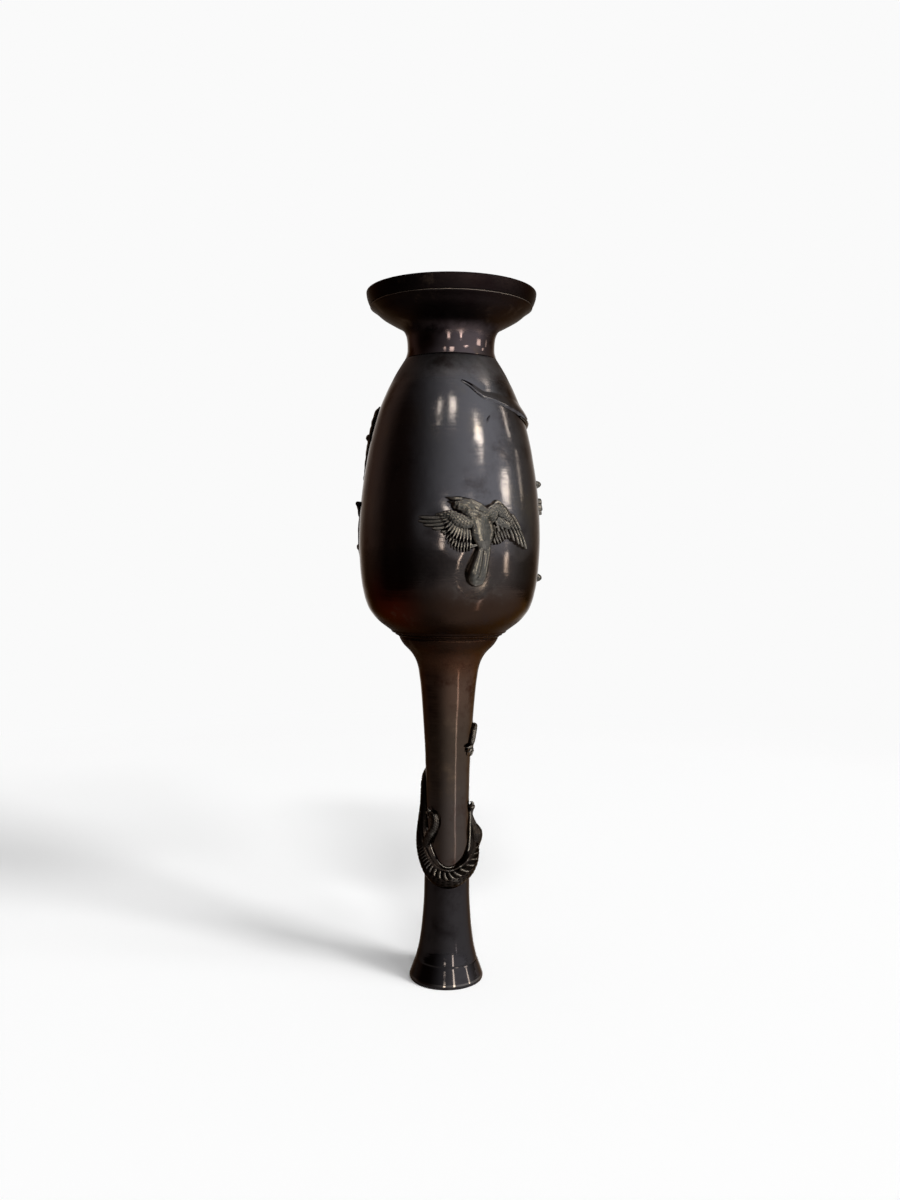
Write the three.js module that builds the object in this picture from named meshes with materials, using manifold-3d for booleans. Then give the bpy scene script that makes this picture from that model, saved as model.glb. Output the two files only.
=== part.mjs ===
// Bronze bud vase: a dished mouth, an ovoid body, a long stem and a flared foot, cast as sections
// that plug into each other. A bird, a flowering plum and a climbing dragon are cast in relief and
// pinned on through the wall. Millimetres, +Z up, front towards -Y.
import * as THREE from "three";
import { mergeVertices } from "three/addons/utils/BufferGeometryUtils.js";
import Module from "manifold-3d";

const wasm = await Module();
wasm.setup();
const DEG = Math.PI / 180;

// Heights of the sections
const FOOT_H = 40;
const STEM_H = 86.6;
const BODY_H = 99.4;
const MOUTH_H = 24;

// Outside radii
const FOOT_R = 13.6;
const FOOT_NECK_R = 8.25; // where the stem meets the foot
const STEM_R = 8;
const FLANGE_R = 17.9; // top of the stem
const BODY_R = 32.75;
const SHOULDER_R = 16.5; // where the neck meets the body
const NECK_R = 15.65;
const LIP_R = 30.5;

// Walls and small edges
const BODY_WALL = 1.8;
const MOUTH_WALL = 1.8;
const STEM_WALL = 2.4;
const FOOT_WALL = 3;
const LIP_T = 1.5;
const LIP_BAND = 4.6; // depth of the band below the lip
const GROOVE = 0.4;
const EDGE = 0.4; // small bevels
const FLANGE_T = 1.9;
const FLANGE_STEP = 0.4; // how much narrower the flange is than the body's floor

// Joints between sections
const SOLDER = 0.15; // radial clearance of a spigot in its socket
const NECK_SPIGOT_R = 15;
const NECK_SPIGOT_T = 1.3;
const NECK_SPIGOT_L = 6;
const STEM_SPIGOT_R = 13;
const STEM_SPIGOT_L = 5;
const BODY_FLOOR = 2.6;
const FOOT_SPIGOT_T = 1.4;
const FOOT_SPIGOT_L = 7;
const PLATE_R = 11;
const PLATE_T = 1.7;
const PLATE_RECESS = 0.8;

// Reliefs
const GAP = 0.3; // under a relief and round it
const STUD_R = 0.7;
const STUD_HEAD_R = 1.2;
const STUD_HEAD_T = 0.8;
const BIRD_L = 41.1;
const TRUNK_W = 2.2;
const TRUNK_H = 1.9;
const BOUGH_W = 1.7;
const BOUGH_H = 1.5;
const BLOSSOM_R = 3.1;
const BLOSSOM_H = 1.5;
const BUD_R = 1.5;
const DRAGON_W = 3.85;
const DRAGON_H = 4;
const SPINES = 30;
const SPINE_H = 0.8;
const LEG_W = 1.9;
const LEG_H = 2.1;

// Facets round the large and the slender sections
const BODY_STEPS = 32;
const STEM_STEPS = 24;

const stemZ = FOOT_H;
const bodyZ = stemZ + STEM_H;
const mouthZ = bodyZ + BODY_H;
const topZ = mouthZ + MOUTH_H;
const stemBoreR = FOOT_NECK_R - STEM_WALL;

// Smooth profile between two radii, from [share of height, share of the radii's difference] rows
function profile(z, height, r0, r1, rows, steps) {
  const points = rows.map(([t, s]) => new THREE.Vector2(r0 + (r1 - r0) * s, z + height * t));
  return new THREE.SplineCurve(points).getSpacedPoints(steps).map((p) => [p.x, p.y]);
}

const mouthOuter = profile(
  mouthZ,
  MOUTH_H,
  NECK_R,
  LIP_R,
  [
    [0.767, 0.872],
    [0.717, 0.778],
    [0.638, 0.623],
    [0.546, 0.38],
    [0.458, 0.138],
    [0.35, 0.03],
    [0.204, 0],
  ],
  7,
);
const bodyUpper = profile(
  bodyZ,
  BODY_H,
  SHOULDER_R,
  BODY_R,
  [
    [1, 0],
    [0.956, 0.172],
    [0.896, 0.363],
    [0.806, 0.585],
    [0.708, 0.745],
    [0.593, 0.88],
    [0.452, 0.978],
    [0.336, 1],
  ],
  8,
);
const bodyLower = profile(
  bodyZ,
  BODY_H,
  FLANGE_R + FLANGE_STEP,
  BODY_R,
  [
    [0.336, 1],
    [0.23, 0.962],
    [0.169, 0.893],
    [0.096, 0.73],
    [0.056, 0.5],
    [0.023, 0.194],
    [0.006, 0],
  ],
  8,
);
const bodyOuter = [...bodyUpper, ...bodyLower.slice(1)];
const stemOuter = profile(
  stemZ,
  STEM_H,
  STEM_R,
  FLANGE_R - EDGE,
  [
    [0.977, 0.97],
    [0.963, 0.865],
    [0.932, 0.59],
    [0.898, 0.41],
    [0.865, 0.322],
    [0.797, 0.232],
    [0.693, 0.15],
    [0.577, 0.074],
    [0.462, 0.021],
    [0.323, 0],
    [0.185, 0.005],
  ],
  11,
);
stemOuter.push([FOOT_NECK_R, stemZ]);
const footOuter = profile(
  0,
  FOOT_H,
  FOOT_NECK_R,
  FOOT_R,
  [
    [1, 0],
    [0.75, 0.037],
    [0.56, 0.121],
    [0.408, 0.252],
    [0.258, 0.439],
    [0.135, 0.701],
    [0.04, 0.981],
    [0.02, 1],
  ],
  8,
);

// Radius and outward slope of a profile at a height
function slopeAt(outline, z) {
  let i = outline.findIndex((p) => p[1] <= z);
  if (i < 1) i = i === 0 ? 1 : outline.length - 1;
  const [r0, z0] = outline[i - 1];
  const [r1, z1] = outline[i];
  const normal = new THREE.Vector2(z0 - z1, r1 - r0).normalize();
  const share = (z - z0) / (z1 - z0);
  return { r: r0 + (r1 - r0) * share, out: normal.x, rise: normal.y };
}

// A profile moved inwards by a wall
function inset(outline, wall) {
  return outline.map(([r, z]) => {
    const { out, rise } = slopeAt(outline, z);
    return [r - wall * out, z - wall * rise];
  });
}

// The point at a lift over a surface, at an angle from the front (towards +X) and a height
function over(outline, angle, z, lift) {
  const { r, out, rise } = slopeAt(outline, z);
  const reach = r + lift * out;
  return new THREE.Vector3(
    reach * Math.sin(angle * DEG),
    -reach * Math.cos(angle * DEG),
    z + lift * rise,
  );
}

// A three.js geometry as a solid that can be cut and joined
function solid(geometry) {
  const bare = geometry.clone();
  bare.deleteAttribute("normal");
  bare.deleteAttribute("uv");
  const merged = mergeVertices(bare, 1e-4);
  return new wasm.Manifold(
    new wasm.Mesh({
      numProp: 3,
      vertProperties: merged.attributes.position.array,
      triVerts: new Uint32Array(merged.index.array),
    }),
  );
}

function joined(solids) {
  return solids.reduce((all, next) => all.add(next));
}

// A closed [radius, height] outline turned about the axis
function turned(outline, steps) {
  const points = [...outline, outline[0]].map(([r, z]) => new THREE.Vector2(r, z));
  let area = 0;
  for (let i = 1; i < points.length; i++)
    area += points[i - 1].x * points[i].y - points[i].x * points[i - 1].y;
  if (area < 0) points.reverse();
  return solid(new THREE.LatheGeometry(points, steps).rotateX(Math.PI / 2));
}

// A closed solid through rings of points, fanned over at both ends
function loft(rings) {
  const n = rings[0].length;
  const points = rings.flat();
  const index = [];
  for (let k = 0; k + 1 < rings.length; k++)
    for (let i = 0; i < n; i++) {
      const j = (i + 1) % n;
      index.push(k * n + i, k * n + j, (k + 1) * n + j);
      index.push(k * n + i, (k + 1) * n + j, (k + 1) * n + i);
    }
  for (const k of [0, rings.length - 1]) {
    const centre = rings[k].reduce((sum, p) => sum.add(p), new THREE.Vector3());
    const c = points.push(centre.divideScalar(n)) - 1;
    for (let i = 0; i < n; i++) {
      const pair = [k * n + i, k * n + ((i + 1) % n)];
      index.push(c, ...(k === 0 ? pair.reverse() : pair));
    }
  }
  let volume = 0;
  for (let i = 0; i < index.length; i += 3)
    volume += points[index[i]].dot(points[index[i + 1]].clone().cross(points[index[i + 2]]));
  if (volume < 0) index.reverse();
  const geometry = new THREE.BufferGeometry().setFromPoints(points);
  return solid(geometry.setIndex(index));
}

// Cross-sections of a ridge, as [share of half width, share of rise]; the last points lie below
const ARCH = arch(5, 1);
const BARREL = arch(6, 2);
const CLAW = [
  [-1, 0],
  [-0.5, 1],
  [0.5, 1],
  [1, 0],
];

function arch(above, below) {
  const top = Array.from({ length: above }, (_, i) => {
    const turn = Math.PI * (1 - i / (above - 1));
    return [Math.cos(turn), Math.sin(turn)];
  });
  const base = Array.from({ length: below }, (_, i) => [1 - (2 * (i + 1)) / (below + 1), 0]);
  return [...top, ...base];
}

// A curve on a surface through [angle, height, half width, rise, lift] stations
class Trail {
  constructor(outline, stations) {
    this.outline = outline;
    const rows = stations.map(([a, z, w, h, lift = 0]) => [a, z, w, h, lift]);
    this.place = new THREE.CatmullRomCurve3(rows.map((s) => new THREE.Vector3(s[0], s[1], 0)));
    this.size = new THREE.CatmullRomCurve3(rows.map((s) => new THREE.Vector3(s[2], s[3], s[4])));
  }

  at(t) {
    const { x: a, y: z } = this.place.getPoint(t);
    const { x: w, y: h, z: lift } = this.size.getPoint(t);
    return { a, z, w, h, lift };
  }

  // Angle and height of the point that lies x to the left of the curve, as seen from outside
  beside(t, x, lift = 0) {
    const { a, z } = this.at(t);
    const { x: da, y: dz } = this.place.getTangent(t);
    const { r, out } = slopeAt(this.outline, z);
    const along = new THREE.Vector2(da * DEG * r, dz / out).normalize();
    const turn = (-along.y * x) / (r + lift) / DEG;
    return [a + turn, z + along.x * x * out];
  }

  // The solid that a cross-section leaves along the curve at the given shares of it. Swell grows it
  // on all sides; relief(k, x) gives the kth ring's extra lift and shift along the curve
  ridge(shares, section = ARCH, swell = 0, relief = () => [0, 0]) {
    const rings = shares.map((share, k) =>
      section.map(([x, y]) => {
        const [extra, along] = y > 0 ? relief(k, x) : [0, relief(k, x)[1]];
        const t = THREE.MathUtils.clamp(share + along, 0, 1);
        const { w, h, lift } = this.at(t);
        const top = GAP + lift + (y > 0 ? y * (h + swell) + extra : -2 * swell);
        return over(this.outline, ...this.beside(t, x * (w + swell), top), top);
      }),
    );
    return loft(rings);
  }
}

function evenly(steps, from = 0, to = 1) {
  return Array.from({ length: steps + 1 }, (_, k) => from + ((to - from) * k) / steps);
}

// Pieces of one casting have their undersides at slightly different lifts, so that they join cleanly
function ridge(outline, stations, steps, section, swell, raise = 0) {
  const rows = stations.map(([a, z, w, h, lift = 0]) => [a, z, w, h, lift + raise]);
  return new Trail(outline, rows).ridge(evenly(steps), section, swell);
}

// Feathers side by side as one closed fan: roots and tips run evenly between two ends, each shaft
// stands up and each gap between two tips is drawn in
function fan(outline, count, roots, tips, rise) {
  const mix = ([p, q], share) => p.map((v, i) => v + (q[i] - v) * share);
  const rings = Array.from({ length: count * 2 + 1 }, (_, j) => {
    const shaft = j % 2 === 1;
    const share = (j + (shaft ? 0.35 : 0)) / (count * 2);
    const line = [mix(roots, share), mix(tips, share)];
    const length = shaft ? 1 : 0.88;
    const top = [0, 0.5, 0.88, 1].map((t) => {
      const lift = rise * (shaft ? 1 : 0.5) * (t === 1 ? 0.4 : 1);
      return over(outline, ...mix(line, t * length), GAP * 1.5 + lift);
    });
    const base = [1, 0.5, 0].map((t) => over(outline, ...mix(line, t * length), GAP * 1.5));
    return [...top, ...base];
  });
  return loft(rings);
}

// Rings of points about the surface's normal, from [lift, radius] rows
function post(outline, a, z, rows, sides, turn = 0, lobes = 0) {
  const up = over(outline, a, z, 1).sub(over(outline, a, z, 0));
  const across = new THREE.Vector3(Math.cos(a * DEG), Math.sin(a * DEG), 0);
  const side = up.clone().cross(across);
  const rings = rows.map(([lift, radius]) =>
    Array.from({ length: sides }, (_, i) => {
      const angle = (i / sides) * 2 * Math.PI;
      const reach = radius * (lobes ? 0.84 + 0.16 * Math.cos(lobes * angle) : 1);
      return over(outline, a, z, lift)
        .addScaledVector(across, reach * Math.cos(angle + turn * DEG))
        .addScaledVector(side, reach * Math.sin(angle + turn * DEG));
    }),
  );
  return loft(rings);
}

// A stud through the wall, its end hammered over on the inside
function stud(outline, [a, z], wall) {
  const under = -wall - GAP;
  const rows = [
    [under - STUD_HEAD_T, STUD_HEAD_R],
    [under, STUD_HEAD_R],
    [under, STUD_R],
    [GAP * 2, STUD_R],
  ];
  return post(outline, a, z, rows, 6);
}

function studHole(outline, [a, z], wall) {
  const rows = [
    [-wall - STUD_HEAD_T, STUD_R + SOLDER],
    [GAP, STUD_R + SOLDER],
  ];
  return post(outline, a, z, rows, 6);
}

// Turned sections
const mouthSection = turned(
  [
    [LIP_R - LIP_T, topZ],
    [LIP_R - EDGE, topZ],
    [LIP_R, topZ - EDGE],
    [LIP_R - LIP_T * 0.8, topZ - LIP_BAND],
    [LIP_R - LIP_T * 0.8 - GROOVE, topZ - LIP_BAND - GROOVE],
    ...mouthOuter,
    [SHOULDER_R, mouthZ],
    [NECK_SPIGOT_R, mouthZ],
    [NECK_SPIGOT_R, mouthZ - NECK_SPIGOT_L],
    [NECK_SPIGOT_R - NECK_SPIGOT_T, mouthZ - NECK_SPIGOT_L],
    ...inset(mouthOuter, MOUTH_WALL).reverse(),
  ],
  BODY_STEPS,
);

const bodyInner = inset(bodyOuter, BODY_WALL).filter(
  ([r, z]) => r > NECK_SPIGOT_R + SOLDER && r > STEM_SPIGOT_R + SOLDER && z > bodyZ + BODY_FLOOR,
);
const bodyBlank = turned(
  [
    ...bodyOuter,
    [FLANGE_R + FLANGE_STEP, bodyZ],
    [STEM_SPIGOT_R + SOLDER, bodyZ],
    [STEM_SPIGOT_R + SOLDER, bodyZ + BODY_FLOOR],
    ...bodyInner.reverse(),
    [NECK_SPIGOT_R + SOLDER, mouthZ - BODY_WALL],
    [NECK_SPIGOT_R + SOLDER, mouthZ],
  ],
  BODY_STEPS,
);

const cupR = STEM_SPIGOT_R - STEM_WALL * 0.75;
const stemInner = inset(stemOuter, STEM_WALL)
  .filter(([r, z]) => r > stemBoreR && z > stemZ + STEM_H / 2)
  .map(([r, z]) => [Math.min(r, cupR), z]);
const stemSection = turned(
  [
    [STEM_SPIGOT_R, bodyZ + STEM_SPIGOT_L],
    [STEM_SPIGOT_R, bodyZ],
    [FLANGE_R - EDGE, bodyZ],
    [FLANGE_R, bodyZ - EDGE],
    [FLANGE_R - EDGE, bodyZ - FLANGE_T * 0.7],
    ...stemOuter,
    [stemBoreR + FOOT_SPIGOT_T, stemZ],
    [stemBoreR + FOOT_SPIGOT_T, stemZ - FOOT_SPIGOT_L],
    [stemBoreR, stemZ - FOOT_SPIGOT_L],
    ...stemInner.reverse(),
    [cupR, bodyZ + STEM_SPIGOT_L],
  ],
  STEM_STEPS,
);

const plateTop = PLATE_RECESS + PLATE_T;
const socketZ = stemZ - FOOT_SPIGOT_L;
const footInner = inset(footOuter, FOOT_WALL).filter(
  ([r, z]) => r > stemBoreR && z > plateTop + PLATE_T && z < socketZ,
);
const footSection = turned(
  [
    ...footOuter,
    [FOOT_R - EDGE, 0],
    [PLATE_R + SOLDER, 0],
    [PLATE_R + SOLDER, plateTop],
    [PLATE_R - PLATE_T, plateTop],
    ...footInner.reverse(),
    [stemBoreR, socketZ],
    [stemBoreR + FOOT_SPIGOT_T + SOLDER, socketZ],
    [stemBoreR + FOOT_SPIGOT_T + SOLDER, stemZ],
  ],
  STEM_STEPS,
);

const basePlate = turned(
  [
    [0, plateTop],
    [PLATE_R, plateTop],
    [PLATE_R, PLATE_RECESS],
    [0, PLATE_RECESS],
  ],
  STEM_STEPS,
);

// Bird in flight seen from its back, drawn across and up from a point on the body's front, for a
// span of 41.1
const birdScale = BIRD_L / 41.1;
const BIRD_A = 14;
const birdZ = bodyZ + BODY_H * 0.366;

function onBird([u, v, w, h, lift = 0]) {
  const a = BIRD_A + (u * birdScale) / (BODY_R * DEG);
  return [a, birdZ + v * birdScale, w * birdScale, h * birdScale, lift * birdScale];
}

function birdPiece(rows, steps, raise = 0) {
  return ridge(bodyOuter, rows.map(onBird), steps, ARCH, 0, raise);
}

function feathers(count, roots, tips, rise) {
  const place = (row) => onBird(row).slice(0, 2);
  return fan(bodyOuter, count, roots.map(place), tips.map(place), rise * birdScale);
}

const BIRD_STUDS = [
  [-1.6, 4.6],
  [3, -1],
].map((row) => onBird(row).slice(0, 2));
const bird = joined([
  // beak, head, neck, back and rump
  birdPiece(
    [
      [-9.4, 12.4, 0.15, 0.3, 0.4],
      [-8, 11.8, 0.6, 1, 0.3],
      [-6.9, 11.2, 1.5, 2.1],
      [-5.2, 10.6, 2.3, 2.8],
      [-3.3, 8.9, 2, 2.6],
      [-1.2, 6.2, 2.6, 2.5],
      [1, 2.6, 3.4, 2.7],
      [2.4, -0.6, 3.2, 2.6],
      [3.2, -3.2, 2, 1.7],
      [3.6, -5, 1.2, 1],
    ],
    13,
  ),
  // tail: two long feathers that meet in a groove, broad and round at the end
  birdPiece(
    [
      [2.7, -3.6, 0.9, 1],
      [1.7, -8.4, 1.2, 1.2],
      [0.2, -13, 1.7, 1.4],
      [-0.3, -15.6, 1.5, 1.2],
      [-0.1, -16.9, 0.5, 0.5],
    ],
    5,
    GAP * 0.2,
  ),
  birdPiece(
    [
      [4.4, -3.6, 0.9, 1],
      [4, -8.4, 1.1, 1.1],
      [3, -13, 1.5, 1.3],
      [2.3, -15.6, 1.3, 1.1],
      [1.9, -16.7, 0.5, 0.5],
    ],
    5,
    GAP * 0.4,
  ),
  // right wing: arm with coverts, primaries, secondaries
  birdPiece(
    [
      [1.6, 3.2, 2.6, 1.5],
      [5.4, 6.6, 2.5, 1.6],
      [8.3, 9.2, 1.8, 1.5],
      [11.2, 7, 1.9, 1.4],
      [14.6, 2.6, 1.2, 1],
      [17, -0.4, 0.5, 0.5],
    ],
    8,
    GAP * 0.3,
  ),
  feathers(
    6,
    [
      [12.8, 5.6],
      [8.6, 2.4],
    ],
    [
      [22.9, -3.6],
      [12.6, -0.6],
    ],
    0.9,
  ),
  feathers(
    6,
    [
      [9.4, 3.6],
      [2.8, 0.8],
    ],
    [
      [12.6, -1.2],
      [5.6, -2.6],
    ],
    1.2,
  ),
  // left wing: arm with coverts, primaries, secondaries
  birdPiece(
    [
      [0.6, 4.2, 1.8, 1.3],
      [-2.4, 5, 2.4, 1.5],
      [-5.6, 6.6, 2, 1.4],
      [-9.6, 6.6, 1.2, 1],
      [-13, 6.1, 0.5, 0.5],
    ],
    7,
    GAP * 0.25,
  ),
  feathers(
    5,
    [
      [-6, 7.6],
      [-4.2, 3.8],
    ],
    [
      [-18.6, 5.2],
      [-10, 0.6],
    ],
    0.9,
  ),
  feathers(
    7,
    [
      [-5, 4.8],
      [0.2, 1.8],
    ],
    [
      [-10, -1.2],
      [-0.6, -5.5],
    ],
    1.2,
  ),
  ...BIRD_STUDS.map((place) => stud(bodyOuter, place, BODY_WALL)),
]);

// Plum tree: the trunk climbs the left side, and two boughs cross the back to the right.
// Rows are angle, share of the body's height, and shares of the named width and rise.
function onBody(width, rise) {
  return ([a, share, w, h, lift = 0]) => [a, bodyZ + BODY_H * share, width * w, rise * h, lift];
}

const trunkRows = [
  [-142, 0.135, 1.05, 0.9],
  [-122, 0.205, 1, 1],
  [-100, 0.3, 0.95, 0.55],
  [-95, 0.4, 0.85, 0.4],
  [-108, 0.515, 1, 0.95],
  [-100, 0.635, 1.1, 0.8],
  [-96, 0.755, 1.4, 0.92],
  [-97, 0.81, 1.3, 0.95],
  [-98, 0.832, 0.8, 0.6],
].map(onBody(TRUNK_W, TRUNK_H));
const trunkTwigs = [
  [
    [-96, 0.44, 0.5, 0.55],
    [-92, 0.472, 0.45, 0.5, 0.5],
    [-90, 0.482, 0.4, 0.45, 1.1],
    [-89, 0.485, 0.15, 0.25, 1.3],
  ],
  [
    [-122, 0.205, 0.7, 0.7],
    [-116, 0.13, 0.5, 0.5],
    [-110, 0.1, 0.2, 0.3],
  ],
].map((rows) => rows.map(onBody(TRUNK_W, TRUNK_H)));
const upperRows = [
  [-118, 0.56, 1, 1],
  [-140, 0.635, 1, 1],
  [-168, 0.708, 0.95, 0.95],
  [-200, 0.668, 0.88, 0.9],
  [-232, 0.728, 0.8, 0.85],
  [-262, 0.768, 0.7, 0.8],
  [-285, 0.782, 0.6, 0.7],
  [-310, 0.809, 0.42, 0.5],
  [-333, 0.839, 0.3, 0.4],
  [-351, 0.893, 0.2, 0.3],
].map(onBody(BOUGH_W, BOUGH_H));
const upperTwigs = [
  [
    [-315, 0.817, 0.35, 0.4],
    [-326, 0.79, 0.28, 0.35],
    [-334, 0.752, 0.2, 0.25],
  ],
  [
    [-168, 0.708, 0.6, 0.6],
    [-178, 0.78, 0.5, 0.55],
    [-192, 0.84, 0.35, 0.45],
  ],
].map((rows) => rows.map(onBody(BOUGH_W, BOUGH_H)));
const lowerRows = [
  [-128, 0.296, 0.95, 1],
  [-150, 0.366, 0.9, 0.95],
  [-178, 0.346, 0.85, 0.9],
  [-205, 0.416, 0.75, 0.85],
  [-232, 0.396, 0.7, 0.75],
  [-250, 0.451, 0.55, 0.65],
  [-257, 0.471, 0.4, 0.45],
].map(onBody(BOUGH_W, BOUGH_H));
const lowerTwigs = [
  [
    [-205, 0.416, 0.6, 0.65],
    [-216, 0.316, 0.5, 0.55],
    [-240, 0.235, 0.4, 0.45],
    [-263, 0.216, 0.25, 0.35],
  ],
  [
    [-232, 0.396, 0.55, 0.6],
    [-247, 0.502, 0.4, 0.5],
    [-266, 0.556, 0.25, 0.35],
  ],
].map((rows) => rows.map(onBody(BOUGH_W, BOUGH_H)));

function branches(main, twigs, steps, swell = 0) {
  return [
    ridge(bodyOuter, main, steps, ARCH, swell),
    ...twigs.map((rows) => ridge(bodyOuter, rows, 5, ARCH, swell, GAP * 0.3)),
  ];
}

// Buds at the ends of twigs and knots on the trunk: angle, share of height, share of the radius
function bud([a, share, size]) {
  const r = BUD_R * size;
  const rows = [
    [GAP * 1.6, r * 0.8],
    [GAP * 1.6 + r * 0.4, r],
    [GAP * 1.6 + r * 1.1, r * 0.75],
    [GAP * 1.6 + r * 1.4, r * 0.25],
  ];
  return post(bodyOuter, a, bodyZ + BODY_H * share, rows, 7);
}

const TRUNK_BUDS = [
  [-112, 0.106, 1],
  [-95.5, 0.72, 1.2],
  [-103, 0.325, 1.2],
];
const UPPER_BUDS = [[-193, 0.844, 1]];
const LOWER_BUDS = [
  [-264.5, 0.217, 1],
  [-267, 0.557, 0.9],
];
const TRUNK_STUDS = [
  [-122, 0.205],
  [-106, 0.5],
  [-95, 0.75],
].map(([a, share]) => [a, bodyZ + BODY_H * share]);
const UPPER_STUDS = [
  [-150, 0.663],
  [-246, 0.749],
].map(([a, share]) => [a, bodyZ + BODY_H * share]);
const LOWER_STUDS = [
  [-160, 0.36],
  [-222, 0.404],
].map(([a, share]) => [a, bodyZ + BODY_H * share]);

function limb(main, twigs, steps, buds, studs) {
  return joined([
    ...branches(main, twigs, steps),
    ...buds.map(bud),
    ...studs.map((place) => stud(bodyOuter, place, BODY_WALL)),
  ]);
}

const trunkSpace = joined(branches(trunkRows, trunkTwigs, 20, GAP));
const boughSpace = joined([
  trunkSpace,
  ...branches(upperRows, upperTwigs, 22, GAP),
  ...branches(lowerRows, lowerTwigs, 16, GAP),
]);
const trunk = limb(trunkRows, trunkTwigs, 20, TRUNK_BUDS, TRUNK_STUDS);
const upperBough = limb(upperRows, upperTwigs, 22, UPPER_BUDS, UPPER_STUDS).subtract(trunkSpace);
const lowerBough = limb(lowerRows, lowerTwigs, 16, LOWER_BUDS, LOWER_STUDS).subtract(trunkSpace);

// Plum blossoms, each soldered on by itself: angle, share of the body's height, turn
const BLOSSOMS = [
  [96, 0.477, 20],
  [125, 0.455, 50],
  [150, 0.467, 0],
  [174, 0.776, 35],
  [-157, 0.632, 12],
  [-171, 0.29, 60],
  [118, 0.7, 40],
].map(([a, share, turn]) => [a, bodyZ + BODY_H * share, turn]);

function blossom([a, z, turn]) {
  const rows = [
    [GAP, BLOSSOM_R * 0.9],
    [GAP + BLOSSOM_H * 0.5, BLOSSOM_R],
    [GAP + BLOSSOM_H, BLOSSOM_R * 0.66],
    [GAP + BLOSSOM_H * 0.7, BLOSSOM_R * 0.32],
    [GAP + BLOSSOM_H * 1.25, BLOSSOM_R * 0.16],
  ];
  return post(bodyOuter, a, z, rows, 15, turn, 5).subtract(boughSpace);
}

// Dragon: its tail lies behind the stem, its back coils round the front and climbs behind.
// Rows are angle, share of the stem's height above the foot, and shares of width and rise.
const stemSurface = [...stemOuter, ...footOuter.slice(1)];

function onStem(width, rise) {
  return ([a, share, w, h, lift = 0]) => [a, stemZ + STEM_H * share, width * w, rise * h, lift];
}

const dragonTrail = new Trail(
  stemSurface,
  [
    [252, 0.3, 0.1, 0.12],
    [215, 0.285, 0.25, 0.27],
    [175, 0.245, 0.45, 0.45],
    [137, 0.19, 0.66, 0.7],
    [103, 0.125, 0.82, 0.85],
    [70, 0.055, 0.9, 0.92],
    [35, 0.012, 0.96, 0.98],
    [0, -0.006, 1, 1],
    [-35, 0.026, 0.98, 1],
    [-66, 0.11, 0.9, 0.92],
    [-89, 0.195, 0.74, 0.72],
    [-99, 0.285, 0.66, 0.52],
    [-107, 0.36, 0.62, 0.52],
    [-130, 0.41, 0.62, 0.62],
    [-165, 0.437, 0.62, 0.66],
    [-203, 0.48, 0.62, 0.66],
    [-236, 0.56, 0.58, 0.62],
    [-226, 0.665, 0.52, 0.56],
    [-200, 0.715, 0.46, 0.5],
  ].map(onStem(DRAGON_W, DRAGON_H)),
);

// Spines lean over the upper edge of the back like the strands of a rope: rings come in pairs,
// a furrow and a crest
const TAIL_RINGS = 9;
const dragonShares = [
  ...evenly(TAIL_RINGS, 0, 0.18),
  ...evenly(SPINES * 2, 0.2, 0.8),
  ...evenly(6, 0.84, 1),
];

function spines(k, x) {
  const ring = k - TAIL_RINGS - 1;
  const crest = ring >= 0 && ring < SPINES * 2 && ring % 2 === 1;
  const upper = THREE.MathUtils.smoothstep(-x, 0.2, 0.6);
  return [crest ? SPINE_H * upper : 0, 0.012 * upper];
}

const DRAGON_STUDS = [
  [-52, 0.075],
  [52, 0.032],
  [182, 0.455],
].map(([a, share]) => [a, stemZ + STEM_H * share]);
const dragonWall = STEM_WALL + GAP;
const dragonBody = joined([
  dragonTrail.ridge(dragonShares, BARREL, 0, spines),
  ...DRAGON_STUDS.map((place) => stud(stemSurface, place, dragonWall)),
]);
const dragonSpace = dragonTrail.ridge(dragonShares, BARREL, GAP, spines).add(dragonBody);

// Legs: a limb with a bent knee, and toes from [angle, share of height] tips
const LEGS = [
  {
    name: "dragon_hind_leg_left",
    limb: [
      [-54, 0.13, 0.85, 1],
      [-38, 0.178, 0.78, 0.95],
      [-26, 0.222, 0.7, 0.85],
      [-33, 0.262, 0.66, 0.8],
      [-44, 0.262, 0.55, 0.65],
    ],
    toes: [
      [-53, 0.232],
      [-58, 0.262],
      [-52, 0.294],
    ],
  },
  {
    name: "dragon_hind_leg_right",
    limb: [
      [96, 0.085, 1, 1.6],
      [97, 0.15, 1, 2.4],
      [93, 0.2, 0.75, 1.4],
      [89, 0.245, 0.5, 0.75],
      [87, 0.272, 0.5, 0.75],
    ],
    toes: [
      [77, 0.29],
      [86, 0.303],
      [97, 0.293],
    ],
  },
  {
    name: "dragon_fore_leg_right",
    limb: [
      [122, 0.555, 0.9, 0.95],
      [101, 0.594, 0.75, 0.85],
      [82, 0.573, 0.6, 0.7],
      [69, 0.55, 0.5, 0.6],
    ],
    toes: [
      [53, 0.582],
      [47, 0.538],
      [55, 0.5],
    ],
  },
  {
    name: "dragon_fore_leg_left",
    limb: [
      [-170, 0.45, 0.85, 0.95],
      [-158, 0.5, 0.75, 0.8],
      [-143, 0.528, 0.6, 0.7],
      [-135, 0.495, 0.5, 0.6],
    ],
    toes: [
      [-124, 0.5],
      [-124, 0.465],
      [-134, 0.452],
    ],
  },
];

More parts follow.
